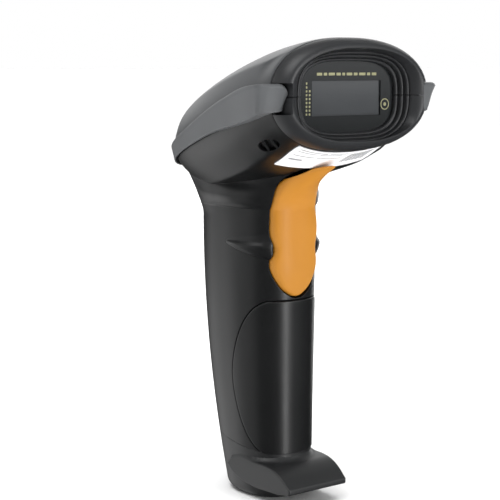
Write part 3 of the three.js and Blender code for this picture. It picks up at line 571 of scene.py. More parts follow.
def metal(name, base, roughness, scale=900, stretch=(1, 1, 12), bump=0.06):
    """Metal with fine directional marks."""
    material, nodes, bsdf = shader(name, base, roughness, metallic=1.0)
    where = add(nodes, "TexCoord")
    turn = add(nodes, "Mapping", Scale=stretch)
    wire(where, "Object", turn, "Vector")
    marks = add(nodes, "TexNoise", Scale=scale)
    wire(turn, "Vector", marks, "Vector")
    gloss = add(nodes, "MapRange", To_Min=max(roughness - 0.08, 0.02), To_Max=roughness + 0.1)
    wire(marks, "Fac", gloss, "Value")
    wire(gloss, "Result", bsdf, "Roughness")
    relief = add(nodes, "Bump", Strength=bump, Distance=0.0001)
    wire(marks, "Fac", relief, "Height")
    wire(relief, "Normal", bsdf, "Normal")
    return material


COVER = plastic("cover_plastic", (74, 76, 78), 0.42)
HOUSING_PLASTIC = plastic("housing_plastic", (22, 23, 24), 0.36)
CAP_PLASTIC = plastic("cap_plastic", (38, 39, 40), 0.42)
BEZEL_PLASTIC = plastic("bezel_plastic", (42, 43, 45), 0.42)
BUMPER = plastic("bumper_rubber", (90, 92, 94), 0.5, grain=0.0004, bump=0.08, edge=0.0004)
AMBER = plastic("trigger_plastic", (188, 126, 42), 0.42, bump=0.03, tint=0.03, edge=0.0003,
                specular=0.25)
PANE = plastic("window_mask", (34, 36, 37), 0.16, bump=0.0, tint=0.03, edge=0)
CLEAR = plastic("window_clear", (66, 68, 70), 0.1, bump=0.0, tint=0.04, edge=0)
PRINT = plastic("pale_print", (150, 148, 112), 0.6, bump=0.0, tint=0.05, edge=0)
LABEL = plastic("label_film", (246, 246, 248), 0.5, bump=0.02, tint=0.01, edge=0)
LABEL_PRINT = plastic("label_print", (150, 152, 155), 0.6, bump=0.0, edge=0)
FROSTED = plastic("light_pipe_plastic", (206, 222, 212), 0.3, bump=0.04, tint=0.03)
RUBBER = plastic("gasket_rubber", (30, 30, 31), 0.85, grain=0.0005, bump=0.15)
BLACK = plastic("black_moulding", (31, 31, 33), 0.45)
GREY_PART = plastic("plunger_plastic", (120, 122, 125), 0.45)
FILM = plastic("flat_cable_film", (205, 205, 200), 0.5, grain=0.001, bump=0.1)
SOLDER_MASK = plastic("solder_mask", (28, 92, 52), 0.32, grain=0.0006, bump=0.12, tint=0.2,
                      coat=0.3)
STEEL = metal("plated_steel", (0.55, 0.56, 0.58), 0.3)
BRASS = metal("brass", (0.62, 0.44, 0.16), 0.25)
COPPER = metal("copper_wire", (0.5, 0.2, 0.09), 0.35, scale=300, stretch=(14, 1, 1), bump=0.4)
MIRROR = metal("front_mirror", (0.86, 0.88, 0.9), 0.04, bump=0.0)
DIE_CAST = metal("die_cast", (0.34, 0.35, 0.37), 0.5, scale=1400, stretch=(1, 1, 1), bump=0.3)

INNER_FINISHES = {
    SOLDER_MASK: ["engine_board", "main_board", "handle_board"],
    STEEL: ["trigger_spring", "mirror_magnet", "mirror_pivot_pin", "engine_screw_left",
            "engine_screw_right", "main_board_screw_left", "main_board_screw_right",
            "handle_board_screw_lower", "handle_board_screw_upper"],
    BRASS: ["laser_module", "socket_contacts"],
    COPPER: ["drive_coil"],
    MIRROR: ["collector_mirror", "scan_mirror"],
    DIE_CAST: ["engine_chassis"],
    BLACK: ["switch_body", "photodiode", "beeper", "cable_socket"],
    GREY_PART: ["switch_plunger"],
    RUBBER: ["window_gasket"],
    FROSTED: ["status_led"],
    FILM: ["ribbon_cable"],
}


def dress_inner_nodes():
    """Gives the parts inside the shells, which stay as they are in the frame, their own finishes."""
    for material, names in INNER_FINISHES.items():
        for name in names:
            paint(frame["nodes"][name], material)


# ---- camera, light and floor ----
CAMERA = dict(place=(-0.3031, -0.3883, 0.1544), down=7.65, turn=-37, lens=99.67)
FLOOR_REACH = 40.0
BACKDROP = 1.0
LAMP_AIM = (0, 0, 0.1)
SOFTBOXES = [
    ("front_strip", (0.28, -1.45, 0.25), (0.22, 1.6), 12),
    ("left_wall", (-1.25, 0.4, 0.15), (1.2, 1.8), 0.55),
    ("left_rear", (-0.75, 1.3, 0.15), (0.9, 1.8), 0.75),
    ("left_rear_low", (-0.5, 1.15, -0.75), (1.6, 1.3), 0.75),
    ("back", (0.6, 1.3, 0.6), (1.6, 0.7), 1.7),
    ("top", (-0.35, -0.1, 1.2), (0.8, 0.8), 3.3),
    ("right_edge", (1.2, 0.5, 0.3), (0.3, 1.2), 2.5),
    ("front_fill", (0.6, -1.1, 0.5), (0.8, 0.8), 1.0),
]


def world():
    """A soft studio: white to the camera, and in reflections dim below and paler above."""
    sky = bpy.data.worlds.new("studio")
    bpy.context.scene.world = sky
    sky.use_nodes = True
    nodes = sky.node_tree.nodes
    shown = nodes["Background"]
    shown.inputs["Color"].default_value = (1, 1, 1, 1)
    shown.inputs["Strength"].default_value = BACKDROP
    where = add(nodes, "TexCoord")
    split = add(nodes, "SeparateXYZ")
    wire(where, "Generated", split, "Vector")
    ramp = add(nodes, "ValToRGB")
    stops = [(0.0, 0.02), (0.46, 0.03), (0.56, 0.14), (1.0, 0.3)]
    height = add(nodes, "MapRange", From_Min=-1)
    wire(split, "Z", height, "Value")
    wire(height, "Result", ramp, "Fac")
    while len(ramp.color_ramp.elements) < len(stops):
        ramp.color_ramp.elements.new(0.5)
    for element, (place, level) in zip(ramp.color_ramp.elements, stops):
        element.position = place
        element.color = (level, level, level, 1)
    lit = add(nodes, "Background")
    wire(ramp, "Color", lit, "Color")
    seen = add(nodes, "LightPath")
    choose = add(nodes, "MixShader")
    wire(seen, "Is Camera Ray", choose, "Fac")
    wire(lit, "Background", choose, 1)
    wire(shown, "Background", choose, 2)
    wire(choose, "Shader", nodes["World Output"], "Surface")


def shown_object(name, data):
    made = bpy.data.objects.new(name, data)
    bpy.context.scene.collection.objects.link(made)
    return made


def softbox(name, place, size, radiance):
    """A rectangular lamp aimed at the object; radiance is how bright it looks in a mirror."""
    lamp = bpy.data.lights.new(name, "AREA")
    lamp.shape = "RECTANGLE"
    lamp.size, lamp.size_y = size
    lamp.energy = radiance * math.pi * size[0] * size[1]
    holder = shown_object(name, lamp)
    holder.location = place
    holder.rotation_euler = (Vector(LAMP_AIM) - Vector(place)).to_track_quat("-Z", "Y").to_euler()
    holder.visible_camera = False


def stage():
    """Camera at the photograph's angle, a pale floor with its own lamp, and the studio."""
    scene = bpy.context.scene
    scene.view_settings.view_transform = "Standard"
    camera = shown_object("camera", bpy.data.cameras.new("camera"))
    camera.location = CAMERA["place"]
    camera.rotation_euler = (math.radians(90 - CAMERA["down"]), 0, math.radians(CAMERA["turn"]))
    camera.data.lens = CAMERA["lens"]
    camera.data.sensor_width = 36
    camera.data.clip_start = 0.01
    scene.camera = camera

    floor_mesh = bpy.data.meshes.new("floor")
    corners = [(x * FLOOR_REACH, y * FLOOR_REACH, 0) for x, y in ((-1, -1), (1, -1), (1, 1), (-1, 1))]
    floor_mesh.from_pydata(corners, [], [(0, 1, 2, 3)])
    floor = shown_object("floor", floor_mesh)
    pale = shader("pale_floor", (0.9, 0.9, 0.9), 0.9, specular=0.0)[0]
    floor.data.materials.append(pale)
    floor.visible_glossy = False
    floor.visible_shadow = False

    wash = bpy.data.lights.new("floor_wash", "SUN")
    wash.energy = 2.8
    wash.angle = math.radians(70)
    washer = shown_object("floor_wash", wash)
    only_floor = bpy.data.collections.new("lit_floor")
    only_floor.objects.link(floor)
    washer.light_linking.receiver_collection = only_floor

    world()
    for lamp in SOFTBOXES:
        softbox(*lamp)


# ---- covers ----
def lens_top():
    return head_point(0.0, LENS["d"], float(head_top(LENS["d"])))


def top_cover():
    """The head's upper half, hollow, with the hole for the status lens."""
    cover = common(head_form(SEAM, 0, edge=0.45), head_slab(SEAM, 60))
    x, y, z = lens_top()
    return cut(cover, head_form(-1, WALL, stations=40, keep=12),
               rod("z", LENS["radius"] + GAP, z - 6, z + 4, (0, y, 0), 64))


def light_pipe():
    """The status lens, flush with the cover, with its stem down to the lamp."""
    x, y, z = lens_top()
    body = rod("z", LENS["radius"], z - 5.5, z + 4, (0, y, 0), 64)
    stem = rod("z", LENS["stem"], LENS["lamp_top"], z - 5, (0, y, 0), 32)
    return join(common(body, head_form(SEAM, -0.15)), stem)


def flank_point(d, h):
    """A place on the right side of the head, d back from the nose seam and h above its axis."""
    across, height = head_section(d, 0, keep=1)
    flank = (across > 0) & (height < 0)
    order = np.argsort(height[flank])
    return head_point(np.interp(h, height[flank][order], across[flank][order]), d, h)


def port_frame():
    """Middle of the sound port and its own directions: back along the head, up the flank, outwards."""
    d, h = SOUND_PORT["d"], SOUND_PORT["h"]
    back = flank_point(d + 3, h) - flank_point(d - 3, h)
    back /= np.linalg.norm(back)
    out = np.cross(back, flank_point(d, h + 1.5) - flank_point(d, h - 1.5))
    out /= np.linalg.norm(out)
    return flank_point(d, h), back, np.cross(out, back), out


def port_solid(side, rings):
    """A solid from rings of (back, up, out) places round the sound port."""
    middle, back, up, out = port_frame()
    if out[0] < 0:
        up, out = -up, -out
    made = np.asarray(rings, float) @ np.stack([back, up, out]) + middle
    return loft(made * (side, 1, 1))


def port_oval(levels):
    angles = full_turn(64)
    a, b = SOUND_PORT["length"] / 2, SOUND_PORT["height"] / 2
    return [xyz((a + grow) * np.cos(angles), (b + grow) * np.sin(angles), out) for out, grow in levels]


def port_screen(side):
    """The black dust screen behind a sound port."""
    return port_solid(side, port_oval([(-3.1, 0.9), (-2.2, 0.9)]))


def sound_port(side):
    """An oval opening with two upright bars in it."""
    hole = port_solid(side, port_oval([(-4.5, 0.6), (-0.3, 0), (0, 0.15), (0.4, 0.6), (2.5, 0.8)]))
    bar, spread = SOUND_PORT["bar"], SOUND_PORT["spread"]
    bars = []
    for shift in (-spread, spread):
        ring = [(shift - bar, -4), (shift + bar, -4), (shift + bar, 4), (shift - bar, 4)]
        bars.append(port_solid(side, [[(a, b, out) for a, b in ring] for out in (-2.0, -0.6)]))
    return cut(hole, *bars)


def finger_lip(side):
    """A ledge beside the trigger: a scooped top, a rounded rim, and a long slant back underneath."""
    rings = []
    for y in np.linspace(LIP["front"], LIP["rear"], 80):
        u = (LIP["rear"] - y) / (LIP["rear"] - LIP["front"])
        taper = math.sqrt(1 - (1 - min(u * 1.6, 1)) ** 2.2)
        taper *= mix(0.35, 1, math.sqrt(min((y - LIP["front"]) / LIP["nose"], 1)))
        proud = LIP["proud"] * taper
        top = mix(*LIP["top"], u ** 0.7)
        low = mix(*LIP["low"], u ** 0.9)
        middle = mix(*LIP["middle"], u)
        x = handle_side(y, LIP["level"])
        slope = 1.25 * smooth((-2 - y) / 14)
        path = np.array([
            (-2.2, top + 0.4), (-0.12, top), (0.12 * proud, mix(top, middle, 0.35)),
            (0.4 * proud, mix(top, middle, 0.72)), (0.78 * proud, mix(top, middle, 0.9)),
            (0.95 * proud, middle), (proud, mix(middle, low, 0.1)), (0.96 * proud, mix(middle, low, 0.22)),
            (0.74 * proud, mix(middle, low, 0.55)), (0.4 * proud, mix(middle, low, 0.85)),
            (-0.12, low), (-2.2, low - 0.4)])
        at = np.linspace(0, len(path) - 1, 67)
        fine, tall = resample(path, np.arange(len(path)), at).T
        weights = np.array([1, 3, 4, 3, 1]) / 12
        for _ in range(3):
            for line in (fine, tall):
                line[2:-2] = np.convolve(line, weights, "valid")
        rings.append(xyz(side * (x + fine * math.cos(slope)), y - fine * math.sin(slope), tall))
    return loft(rings)


def panel_loop():
    """The front grip panel's outline on the handle's surface, as a closed loop."""
    angle = np.linspace(-math.pi / 2, math.pi / 2, 121)
    reach = np.where(np.sin(angle) > 0, PANEL["rise"], PANEL["fall"])
    y = PANEL["y"] + PANEL["depth"] * power(np.cos(angle), 2 / PANEL["roundness"])
    z = PANEL["z"] + reach * power(np.sin(angle), 2 / PANEL["roundness"])
    right = xyz(handle_side(y, z), y, z)
    across = []
    for level in (z[-1], z[0]):
        middle, reach, half, _ = handle_profile(level)
        edge = handle_side(PANEL["y"], level)
        x = np.linspace(edge, -edge, 62)[1:-1]
        y = middle - reach * oval(np.abs(x) / half)
        across.append(xyz(x, y, level))
    left = right[::-1] * (-1, 1, 1)
    return np.vstack([right, across[0], left, across[1][::-1]])


def even(loop, count):
    """A closed loop again with evenly spread points."""
    closed = np.vstack([loop, loop[:1]])
    run = run_length(closed)
    at = np.arange(count) * run[-1] / count
    return resample(closed, run, at)


def seam_loop(count=260):
    """Where the base cap's tilted seam meets the handle's surface."""
    angles = around(count)
    z = np.full(count, 18.0)
    for _ in range(6):
        points = handle_points(angles, z)
        z = base_seam(points[:, 1])
    return handle_points(angles, z)


def seam_plug(gap, radius):
    """Everything below the base seam, with a rounded edge where it meets the surface."""
    loop = seam_loop()
    normals = surface_frame(loop)
    lift = np.array([0, 0, 1])
    rings = [loop - normals * 6 - lift * gap]
    rings += [loop + normals * out - lift * (gap - down) for down, out in shoulder(radius, 6)]
    rings += [loop + normals - lift * (gap - radius - 0.5)]
    rings += [loop + normals * 14 - lift * (gap - radius - 4)]
    outer = loop + normals * 30
    outer[:, 2] = SEAM_FLOOR
    rings += [outer]
    x, y, z = loop.mean(0)
    return loft(rings, apexes=((x, y, z - gap), (x, y, SEAM_FLOOR)))


def lower_housing():
    """The head's lower half in one with the handle, hollow, with its openings and seams."""
    crown = common(head_form(SEAM, 0, edge=0.45), head_slab(-60, -SEAM))
    heights = np.concatenate([np.linspace(11, 99, 90), np.linspace(99.4, NECK_TOP, 56)])
    column = cut(handle_form(heights), head_slab(-4, 60))
    shell = join(crown, column, finger_lip(1), finger_lip(-1))
    hollow = handle_form([0, 12, 24, 60, 84, 98, 103, 107.5, 112, 117], WALL, count=60)
    cut(shell, head_form(-1, WALL, stations=40, keep=12), hollow, box(-60, 60, -80, HEAD_Y + SEAM, 0, 200))
    panel_cut = panel_plug(opening_levels(0.22, 0.3))
    return cut(shell, seam_plug(-SEAM, 0.3), panel_cut, trigger_slot(), sound_port(1), sound_port(-1))


def grip_panel():
    """The D-shaped grip panel, a little proud of the handle, with rounded edges."""
    proud, radius = 0.3, 0.55
    skin = cut(handle_form(np.linspace(10, 80, 90), -proud),
               handle_form(np.linspace(8, 82, 20), PANEL["thickness"]))
    arc = [(-along, proud + below) for along, below in shoulder(radius, 7)]
    clear = -radius - 0.05
    common(skin, panel_plug([(0, PLUG_DEPTH), *arc, (clear, proud + 0.3), (clear, PLUG_REACH)]))
    return cut(skin, seam_plug(-SEAM, 0.2))


# ---- trigger ----
def pin_centre():
    """The middle of the trigger's pin."""
    low, high = node_box("trigger_pin")
    return (0, *((low + high) / 2)[1:])


def trigger_outline():
    """Half of the trigger seen from the front, as (x, z) points on a smooth curve."""
    half = np.array([[0, BLADE["low"]], [2.4, 73.75], [6.2, 76.6], [9.2, 81.8], [9.9, 85.8], [8.8, 90.3],
                     [9.9, 95.5], [9.9, 101.5], [9.4, 108], [8.2, 113.5], [5.4, 117.8], [2.2, 119.9],
                     [0, BLADE["high"]]])
    fine = np.linspace(0, len(half) - 1, 240)
    out = []
    for u in fine:
        i = min(int(u), len(half) - 2)
        p = [half[max(i - 1, 0)], half[i], half[i + 1], half[min(i + 2, len(half) - 1)]]
        f = u - i
        out.append(0.5 * (2 * p[1] + (p[2] - p[0]) * f + (2 * p[0] - 5 * p[1] + 4 * p[2] - p[3]) * f * f
                          + (3 * p[1] - p[0] - 3 * p[2] + p[3]) * f ** 3))
    return np.array(out)


def handle_front(x, z, widen=0.0):
    """How far forward the handle reaches at a place seen from the front."""
    middle, reach, half, keel = handle_profile(z)
    half = half + widen + collar(1.0, z)
    y = middle - reach * oval(np.clip(np.abs(x) / half, 0, 0.999))
    return y - keel * np.exp(-((x / 8) ** 2))


def trigger_slot():
    """The opening in the housing that the trigger moves in."""
    x, z = trigger_outline().T
    side = np.where(x < 0.01, 0, x + TRIGGER_GAP)
    end = z + TRIGGER_GAP * np.sign(z - 97) * smooth(np.abs(z - 97) / 20)
    ring = np.stack([side, end], 1)
    ring = np.vstack([ring, (ring * (-1, 1))[-2:0:-1]])
    return loft([[(x, y, z) for x, z in ring] for y in (-34, -8)])


def trigger():
    """A thin lever: waisted outline, rounded edges, a scoop for the finger and a horn under the head."""
    outline = trigger_outline()
    rounding = BLADE["rounding"]
    levels = mix(BLADE["low"], BLADE["high"], (1 - np.cos(np.linspace(0, math.pi, 190))) / 2)
    widths = np.interp(levels, outline[:, 1], outline[:, 0])
    dense = np.linspace(0, len(outline) - 1, 1400)
    half = resample(outline, np.arange(len(outline)), dense)
    both = np.vstack([half, half * (-1, 1)])
    spread = np.sin(np.linspace(-math.pi / 2, math.pi / 2, 61))
    rings = []
    for z, w in zip(levels[1:-1], widths[1:-1]):
        x = spread * max(w, 0.05)
        near = np.min(np.hypot(x[:, None] - both[None, :, 0], z - both[None, :, 1]), axis=1)
        round_off = rounding - np.sqrt(rounding ** 2 - np.clip(rounding - near, 0, rounding) ** 2)
        scoop = 0.7 * math.exp(-((z - 106) / 5) ** 2)
        swell = BLADE["swell"] * smooth((z - 72) / 12) * (1 - scoop)
        groove = 0.5 * math.exp(-((z - 96) / 13) ** 2) * np.exp(-((x / 5.2) ** 2))
        face = handle_front(x, z, 0.4) - swell
        front = face + round_off + groove
        back = np.maximum(face + BLADE["thickness"], front + 0.12)
        rings.append(np.vstack([xyz(x, front, z), xyz(x, back, z)[::-1]]))
    blade = cut(loft(rings), head_form(SEAM, -BLADE["head_gap"], stations=60, keep=6))
    _, y, z = pin_centre()
    knuckle = rod("x", 2.5, -6.2, 6.2, (0, y, z))
    web = rounded_box(-4.5, 4.5, y - 5.4, y, z - 1.6, z + 1.6, 0.5, "x")
    pusher = rounded_box(-1.4, 1.4, -13.2, -9.6, 84, 92, 0.4, "y")
    join(blade, knuckle, web, pusher)
    return cut(blade, rod("x", PIN_BORE, -9, 9, (0, y, z)))


# ---- nose bezel and window ----
def nose_ring(outline, y, exponent, steps=360):
    angle = full_turn(steps)
    s = np.sin(angle)
    reach = np.where(s > 0, outline["top"] - SPLIT_Z, SPLIT_Z - outline["bottom"])
    x = outline["half"] * power(np.cos(angle), 2 / exponent)
    return xyz(x, y, SPLIT_Z + reach * power(s, 2 / exponent))


def grown(outline, by):
    """The outline, larger all round."""
    return dict(half=outline["half"] + by, top=outline["top"] + by, bottom=outline["bottom"] - by)


def between(a, b, t):
    """The outline part of the way from one to another."""
    return {k: mix(a[k], b[k], t) for k in a}


SEAM_OUTLINE = dict(half=HEAD_HALF_WIDTH, top=HEAD_Z + NOSE_TOP / math.cos(HEAD_PITCH),
                    bottom=HEAD_Z - NOSE_BOTTOM / math.cos(HEAD_PITCH))


def bezel():
    """The nose ring: rounded rim, dished face, ridges down to the window, and the bumper's notches."""
    rings = []
    for along, below in shoulder(0.4, 5)[:-1]:
        rings.append(nose_ring(grown(SEAM_OUTLINE, below), HEAD_Y - along, OVAL))
    for a in np.linspace(0.1, math.pi / 2, 18):
        inset = RIM_INSET * (1 - math.cos(a))
        rings.append(nose_ring(grown(SEAM_OUTLINE, -inset), HEAD_Y - RIM_DEPTH * math.sin(a), OVAL))
    rim = grown(SEAM_OUTLINE, -RIM_INSET)
    front = HEAD_Y - RIM_DEPTH
    mouth = mix(OVAL, SQUARENESS, 0.4)
    for t in (0.12, 0.3, 0.5, 0.7, 0.88, 0.97):
        dish = mix(front, FUNNEL_FRONT, t ** 1.7)
        rings.append(nose_ring(between(rim, FUNNEL, t), dish, mix(OVAL, mouth, t)))
    depth = (FUNNEL_BACK - FUNNEL_FRONT) / RIBS
    ridge = [(0.0, 0.1), (0.03, 0.42), (0.2, 0.42), (0.23, 0.2), (0.29, 0.09), (0.38, 0.03), (0.5, 0.0),
             (0.64, 0.03), (0.77, 0.1), (0.88, 0.23), (0.95, 0.4), (0.985, 0.6), (1.0, 0.85)]
    for k in range(RIBS):
        for share, sink in ridge:
            t = (k + share) / RIBS
            exponent = mix(mouth, SQUARENESS, min(t * 1.6, 1))
            y = FUNNEL_FRONT + depth * (k + sink)
            rings.append(nose_ring(between(FUNNEL, WINDOW, t), y, exponent))
    rings.append(nose_ring(WINDOW, FUNNEL_BACK, SQUARENESS))
    back = between(WINDOW, FUNNEL, 0.45)
    rings.append(nose_ring(back, FUNNEL_BACK, SQUARENESS))
    rings.append(nose_ring(back, HEAD_Y, SQUARENESS))
    ring = loft(rings, closed=True)
    for side in (-1, 1):
        x0, x1 = sorted((side * NOTCH["x"], side * 60))
        cut(ring, rounded_box(x0, x1, -60, HEAD_Y + 0.01, NOTCH["low"], NOTCH["high"], 0.5, "y"))
    return ring


def aperture(play, front, back, radius):
    """A block the size of the clear aperture, smaller all round by play."""
    half, low, high = APERTURE["half"] - play, APERTURE["low"] + play, APERTURE["high"] - play
    return rounded_box(-half, half, front, back, low, high, radius, "y")


def window_mask():
    """The dark pane, with the clear aperture let into it."""
    front = FUNNEL_BACK + GAP
    outlines = [(0.55, 0.0), (0.7, 0.15), (0.7, 1.8)]
    pane = loft([nose_ring(grown(WINDOW, by), front + behind, SQUARENESS) for by, behind in outlines])
    return cut(pane, aperture(0, front - 2, front + 0.9, 0.35))


def window_clear():
    """The lighter pane in the aperture."""
    front = FUNNEL_BACK + GAP + 0.7
    return aperture(0.05, front, front + 0.18, 0.3)


def printed_marks():
    """Generic printed marks on the pane: a row of dashes, two columns of ticks and a plain ring."""
    face, root = FUNNEL_BACK + GAP - 0.06, FUNNEL_BACK + GAP + 0.05
    marks = []
    x = -13.0
    for length in (2.2, 1.4, 2.6, 1.8, 1.2, 2.4, 1.6, 2.8, 1.4, 2.0):
        marks.append(rounded_box(x, x + length, face, root, 150.7, 151.6, 0.15, "y"))
        x += length + 0.72
    for column, rows in ((-17.6, 9), (-16.3, 7)):
        for z in 137.8 + 1.25 * np.arange(rows):
            marks.append(rounded_box(column, column + 0.6, face, root, z, z + 0.7, 0.12, "y"))
    x, z = 16.9, 141.0
    edges = [(1.9, root), (1.9, face), (1.6, face), (1.6, root)]
    turn = full_turn(64)
    marks.append(loft([xyz(x + r * np.cos(turn), y, z + r * np.sin(turn)) for r, y in edges], closed=True))
    marks.append(rod("y", 0.6, face, root, (x, 0, z)))
    return gather(marks)


# ---- bumper band ----
def band_top(d):
    return np.where(d > 13, mix(4.25, 1.6, smooth((d - 13) / 52)), 4.25 - 0.0066 * (13 - d) ** 2)


def band_low(d):
    return mix(-6.3, -4.3, smooth((d - 6) / 32))


def bumper_proud(d):
    return mix(BUMPER_PROUD, BUMPER_PROUD_REAR, smooth(d / 60))


def band_plan(tip, proud_lost, length):
    """One edge of the band in plan, from the tip back to the middle of the rear, as (x, d) points."""
    points = [*tip]
    for d in (4.0, 6.0, 8.0, 10.0):
        points.append((HEAD_HALF_WIDTH + bumper_proud(d) - proud_lost(d), d))
    for t in np.linspace(0.0, 1, 160):
        u = math.cos(math.pi / 2 * (1 - t) ** 1.15)
        d = 12 + (length - 12) * u
        half = HEAD_HALF_WIDTH + bumper_proud(d) - proud_lost(d)
        points.append((half * (1 - u ** 2.1) ** (1 / 2.1), d))
    return np.array(points)


def retraced(points, count=260):
    """The same line with even steps, denser at the tip, its corners eased."""
    run = run_length(points)
    at = run[-1] * np.linspace(0, 1, count) ** 1.5
    line = resample(points, run, at)
    for _ in range(6):
        line[1:-1] = (line[:-2] + 2 * line[1:-1] + line[2:]) / 4
    return line


def bumper():
    """Swept from one tip round the rear to the other: a rounded shoulder, and a face that slopes
    inwards to its lower edge, most of all at the tips."""
    seat = NOTCH["x"] + GAP
    inside = HEAD_HALF_WIDTH + GAP
    back = -SEAM
    upper = [(seat, -4.3), (31.0, -4.9), (33.2, -4.9), (35.8, -4.4), (37.9, -3.1), (38.8, -0.8),
             (38.8, 2.2)]
    lower = [(seat, -0.6), (31.2, -0.4), (33.8, -0.1), (35.8, 0.7), (37.1, 1.9), (37.5, 2.9),
             (37.4, 3.6)]
    inner = [(seat, back), (30.0, back), (31.4, back), (32.4, back), (inside, back + 0.4), (inside, 1.2),
             (inside, 2.6)]
    rear = HEAD_LENGTH + BUMPER_PROUD_REAR

    def spread(d):
        return TIP_SPREAD * (1 - smooth((d - 2) / 18))

    def slanted(d):
        return mix(1.5, 0.35, smooth(d / 45)) - spread(d)

    edges = [retraced(band_plan(upper, lambda d: -spread(d), rear)),
             retraced(band_plan(lower, slanted, rear - 0.35)),
             retraced(band_plan(inner, lambda d: bumper_proud(d) - GAP, HEAD_LENGTH + GAP))]
    edges = [np.vstack([edge, (edge * (-1, 1))[::-1][1:]]) for edge in edges]
    rings = []
    for (xu, du), (xl, dl), (xi, di) in zip(*edges):
        end = 1 - np.clip((abs(xu) - seat) / 2.6, 0, 1) if du < 0 else 0.0
        fall = 1 - math.sqrt(1 - end ** 2)
        top = float(band_top(du)) - 2.3 * fall
        low = float(band_low(dl)) + 1.0 * fall
        thickness = math.hypot(xu - xi, du - di)
        radius = min(1.5, thickness * 0.6)
        keel = 0.45
        path = [(0.97, top, 0.0)]
        path += [(-below / thickness, top - along, 0.0) for along, below in shoulder(radius, 12)]
        path += [(0.0, mix(top - radius, low + keel, t), t + 0.12 * math.sin(math.pi * t) * (1 - t))
                 for t in np.linspace(0.05, 1.0, 22)]
        path += [(0.12 * (1 - math.cos(a)), low + keel * (1 - math.sin(a)), 1.0)
                 for a in np.linspace(0.3, math.pi / 2, 5)]
        path += [(0.97, low, 1.0)]
        share, h, slant = np.array(path).T
        x = mix(mix(xu, xl, slant), xi, share)
        d = mix(mix(du, dl, slant), di, share)
        rings.append(pitched(x, d, h))
    return loft(rings)


# ---- base cap with the foot ----
def base_tuck(z):
    return BASE_ROUND * (1 - math.sqrt(1 - np.clip(1 - z / BASE_ROUND, 0, 1) ** 2))


def foot():
    """A forward foot: flat leaf-shaped flanks, a top that falls to a thin rounded lip."""
    tip, lip_radius, cove = FOOT["front"], FOOT["lip"], FOOT["cove"]
    top_line = np.array([[tip, 7.6], [-22, 11], [-19, 12.6], [-16, 13.5], [-12, 13.9], [0, 13.7],
                         [3.2, 13.2], [6.2, 12], [8, 10.5]])
    low_line = np.array([[tip, 5.9], [-20, 4.8], [-8, 4.5], [-1, 5.2], [4, 6.8], [7, 8.6], [8, 10.5]])

    def softened(line, y):
        spans = np.linspace(-1.2, 1.2, 9)
        return np.mean([np.interp(y + s, line[:, 0], line[:, 1]) for s in spans])

    rings = []
    ends = [0.0, 0.03, 0.1, 0.22, 0.4, lip_radius]
    stations = [tip + e for e in ends] + list(np.linspace(-25.2, 7.2, 110)) + [7.6, 7.85, 7.95]
    for y in stations:
        half = mix(*FOOT["half"], (y - tip) / 34)
        top, low = softened(top_line, y), softened(low_line, y)
        lip = lip_radius - math.sqrt(max(lip_radius ** 2 - max(lip_radius - (y - tip), 0) ** 2, 0))
        top, low, half = top - lip, low + lip, half - lip
        middle = (top + low) / 2
        rise = max((top - low) / 2, 0.05)
        ring = rounded_ring(-half, half, middle - rise, middle + rise, min(FOOT["edge"], rise * 0.9), 7)
        flat = []
        for i, (x, z) in enumerate(ring):
            flat.append((x, z))
            if i % 7 == 6:
                nx, nz = ring[(i + 1) % len(ring)]
                steps = 40 if i in (6, 20) else 4
                flat += [(mix(x, nx, t), mix(z, nz, t)) for t in np.linspace(0, 1, steps + 2)[1:-1]]
        shape = np.array([(x, y, z) for x, z in flat])
        lifted = shape[:, 2] > middle
        centre, reach, wide, _ = handle_profile(12.0)
        u = np.abs(shape[:, 0]) / wide
        v = np.abs(shape[:, 1] - centre) / reach
        away = ((u ** HANDLE_OVAL + v ** HANDLE_OVAL) ** (1 / HANDLE_OVAL) - 1) * wide
        climb = cove - np.sqrt(np.clip(cove ** 2 - np.clip(cove - away, 0, cove) ** 2, 0, None))
        shape[:, 2] += np.where(lifted & (away > -1), np.minimum(climb, 1.6) * smooth((top - low) / 4), 0)
        rings.append(shape)
    return loft(rings)


def base_cap():
    """The cap: a rounded cup with the foot, the cable socket's opening and the screw pillar."""
    rounded = BASE_ROUND * (1 - np.cos(np.linspace(0, math.pi / 2, 14)))
    heights = np.concatenate([rounded, np.linspace(4.2, 26, 30)])
    cap = join(handle_form(heights, tuck=base_tuck), foot())
    cut(cap, handle_form([2.6, 5, 14, 28], 2.2, count=60))
    common(cap, seam_plug(-SEAM - 0.3, 0.25))
    x0, y0, z0 = SOCKET_LOW
    x1, y1, z1 = SOCKET_HIGH
    cut(cap, box(x0 - GAP, x1 + GAP, y0 - GAP, y1 + GAP, 0.7, 40),
        rounded_box(x0 + 1.4, x1 - 1.4, y0 + 1.6, y1 - 1.6, -1, 4, 0.4))
    join(cap, rod("z", 2.9, 1.5, 19.0, (0, BASE_SCREW_Y, 0)))
    cut(cap, rod("z", 1.5, -1, 30, (0, BASE_SCREW_Y, 0)), rod("z", 2.6, -1, 1.7, (0, BASE_SCREW_Y, 0)))
    return cap


def base_screw():
    """Pan head with a cross recess, its shank in the pillar."""
    head = lathe([(0.9, 24), (0.9, 1.6), (1.9, 1.6), (1.9, 0.95), (1.75, 0.6), (1.35, 0.42), (0.6, 0.4)],
                 (0, BASE_SCREW_Y, 0))
    slots = [box(-1.0, 1.0, BASE_SCREW_Y - 0.2, BASE_SCREW_Y + 0.2, 0, 1.1),
             box(-0.2, 0.2, BASE_SCREW_Y - 1.0, BASE_SCREW_Y + 1.0, 0, 1.1)]
    return cut(head, *slots)


def cover_screw(name):
    """The screw under the label: its head sits inside the housing's wall."""
    low, high = node_box(name)
    x, y, _ = (low + high) / 2
    seat = low[2] + 2.6
    profile = [(1.1, high[2]), (1.1, seat + 1.5), (2.2, seat + 1.5), (2.2, seat + 0.2), (1.9, seat)]
    return lathe(profile, (x, y, 0))


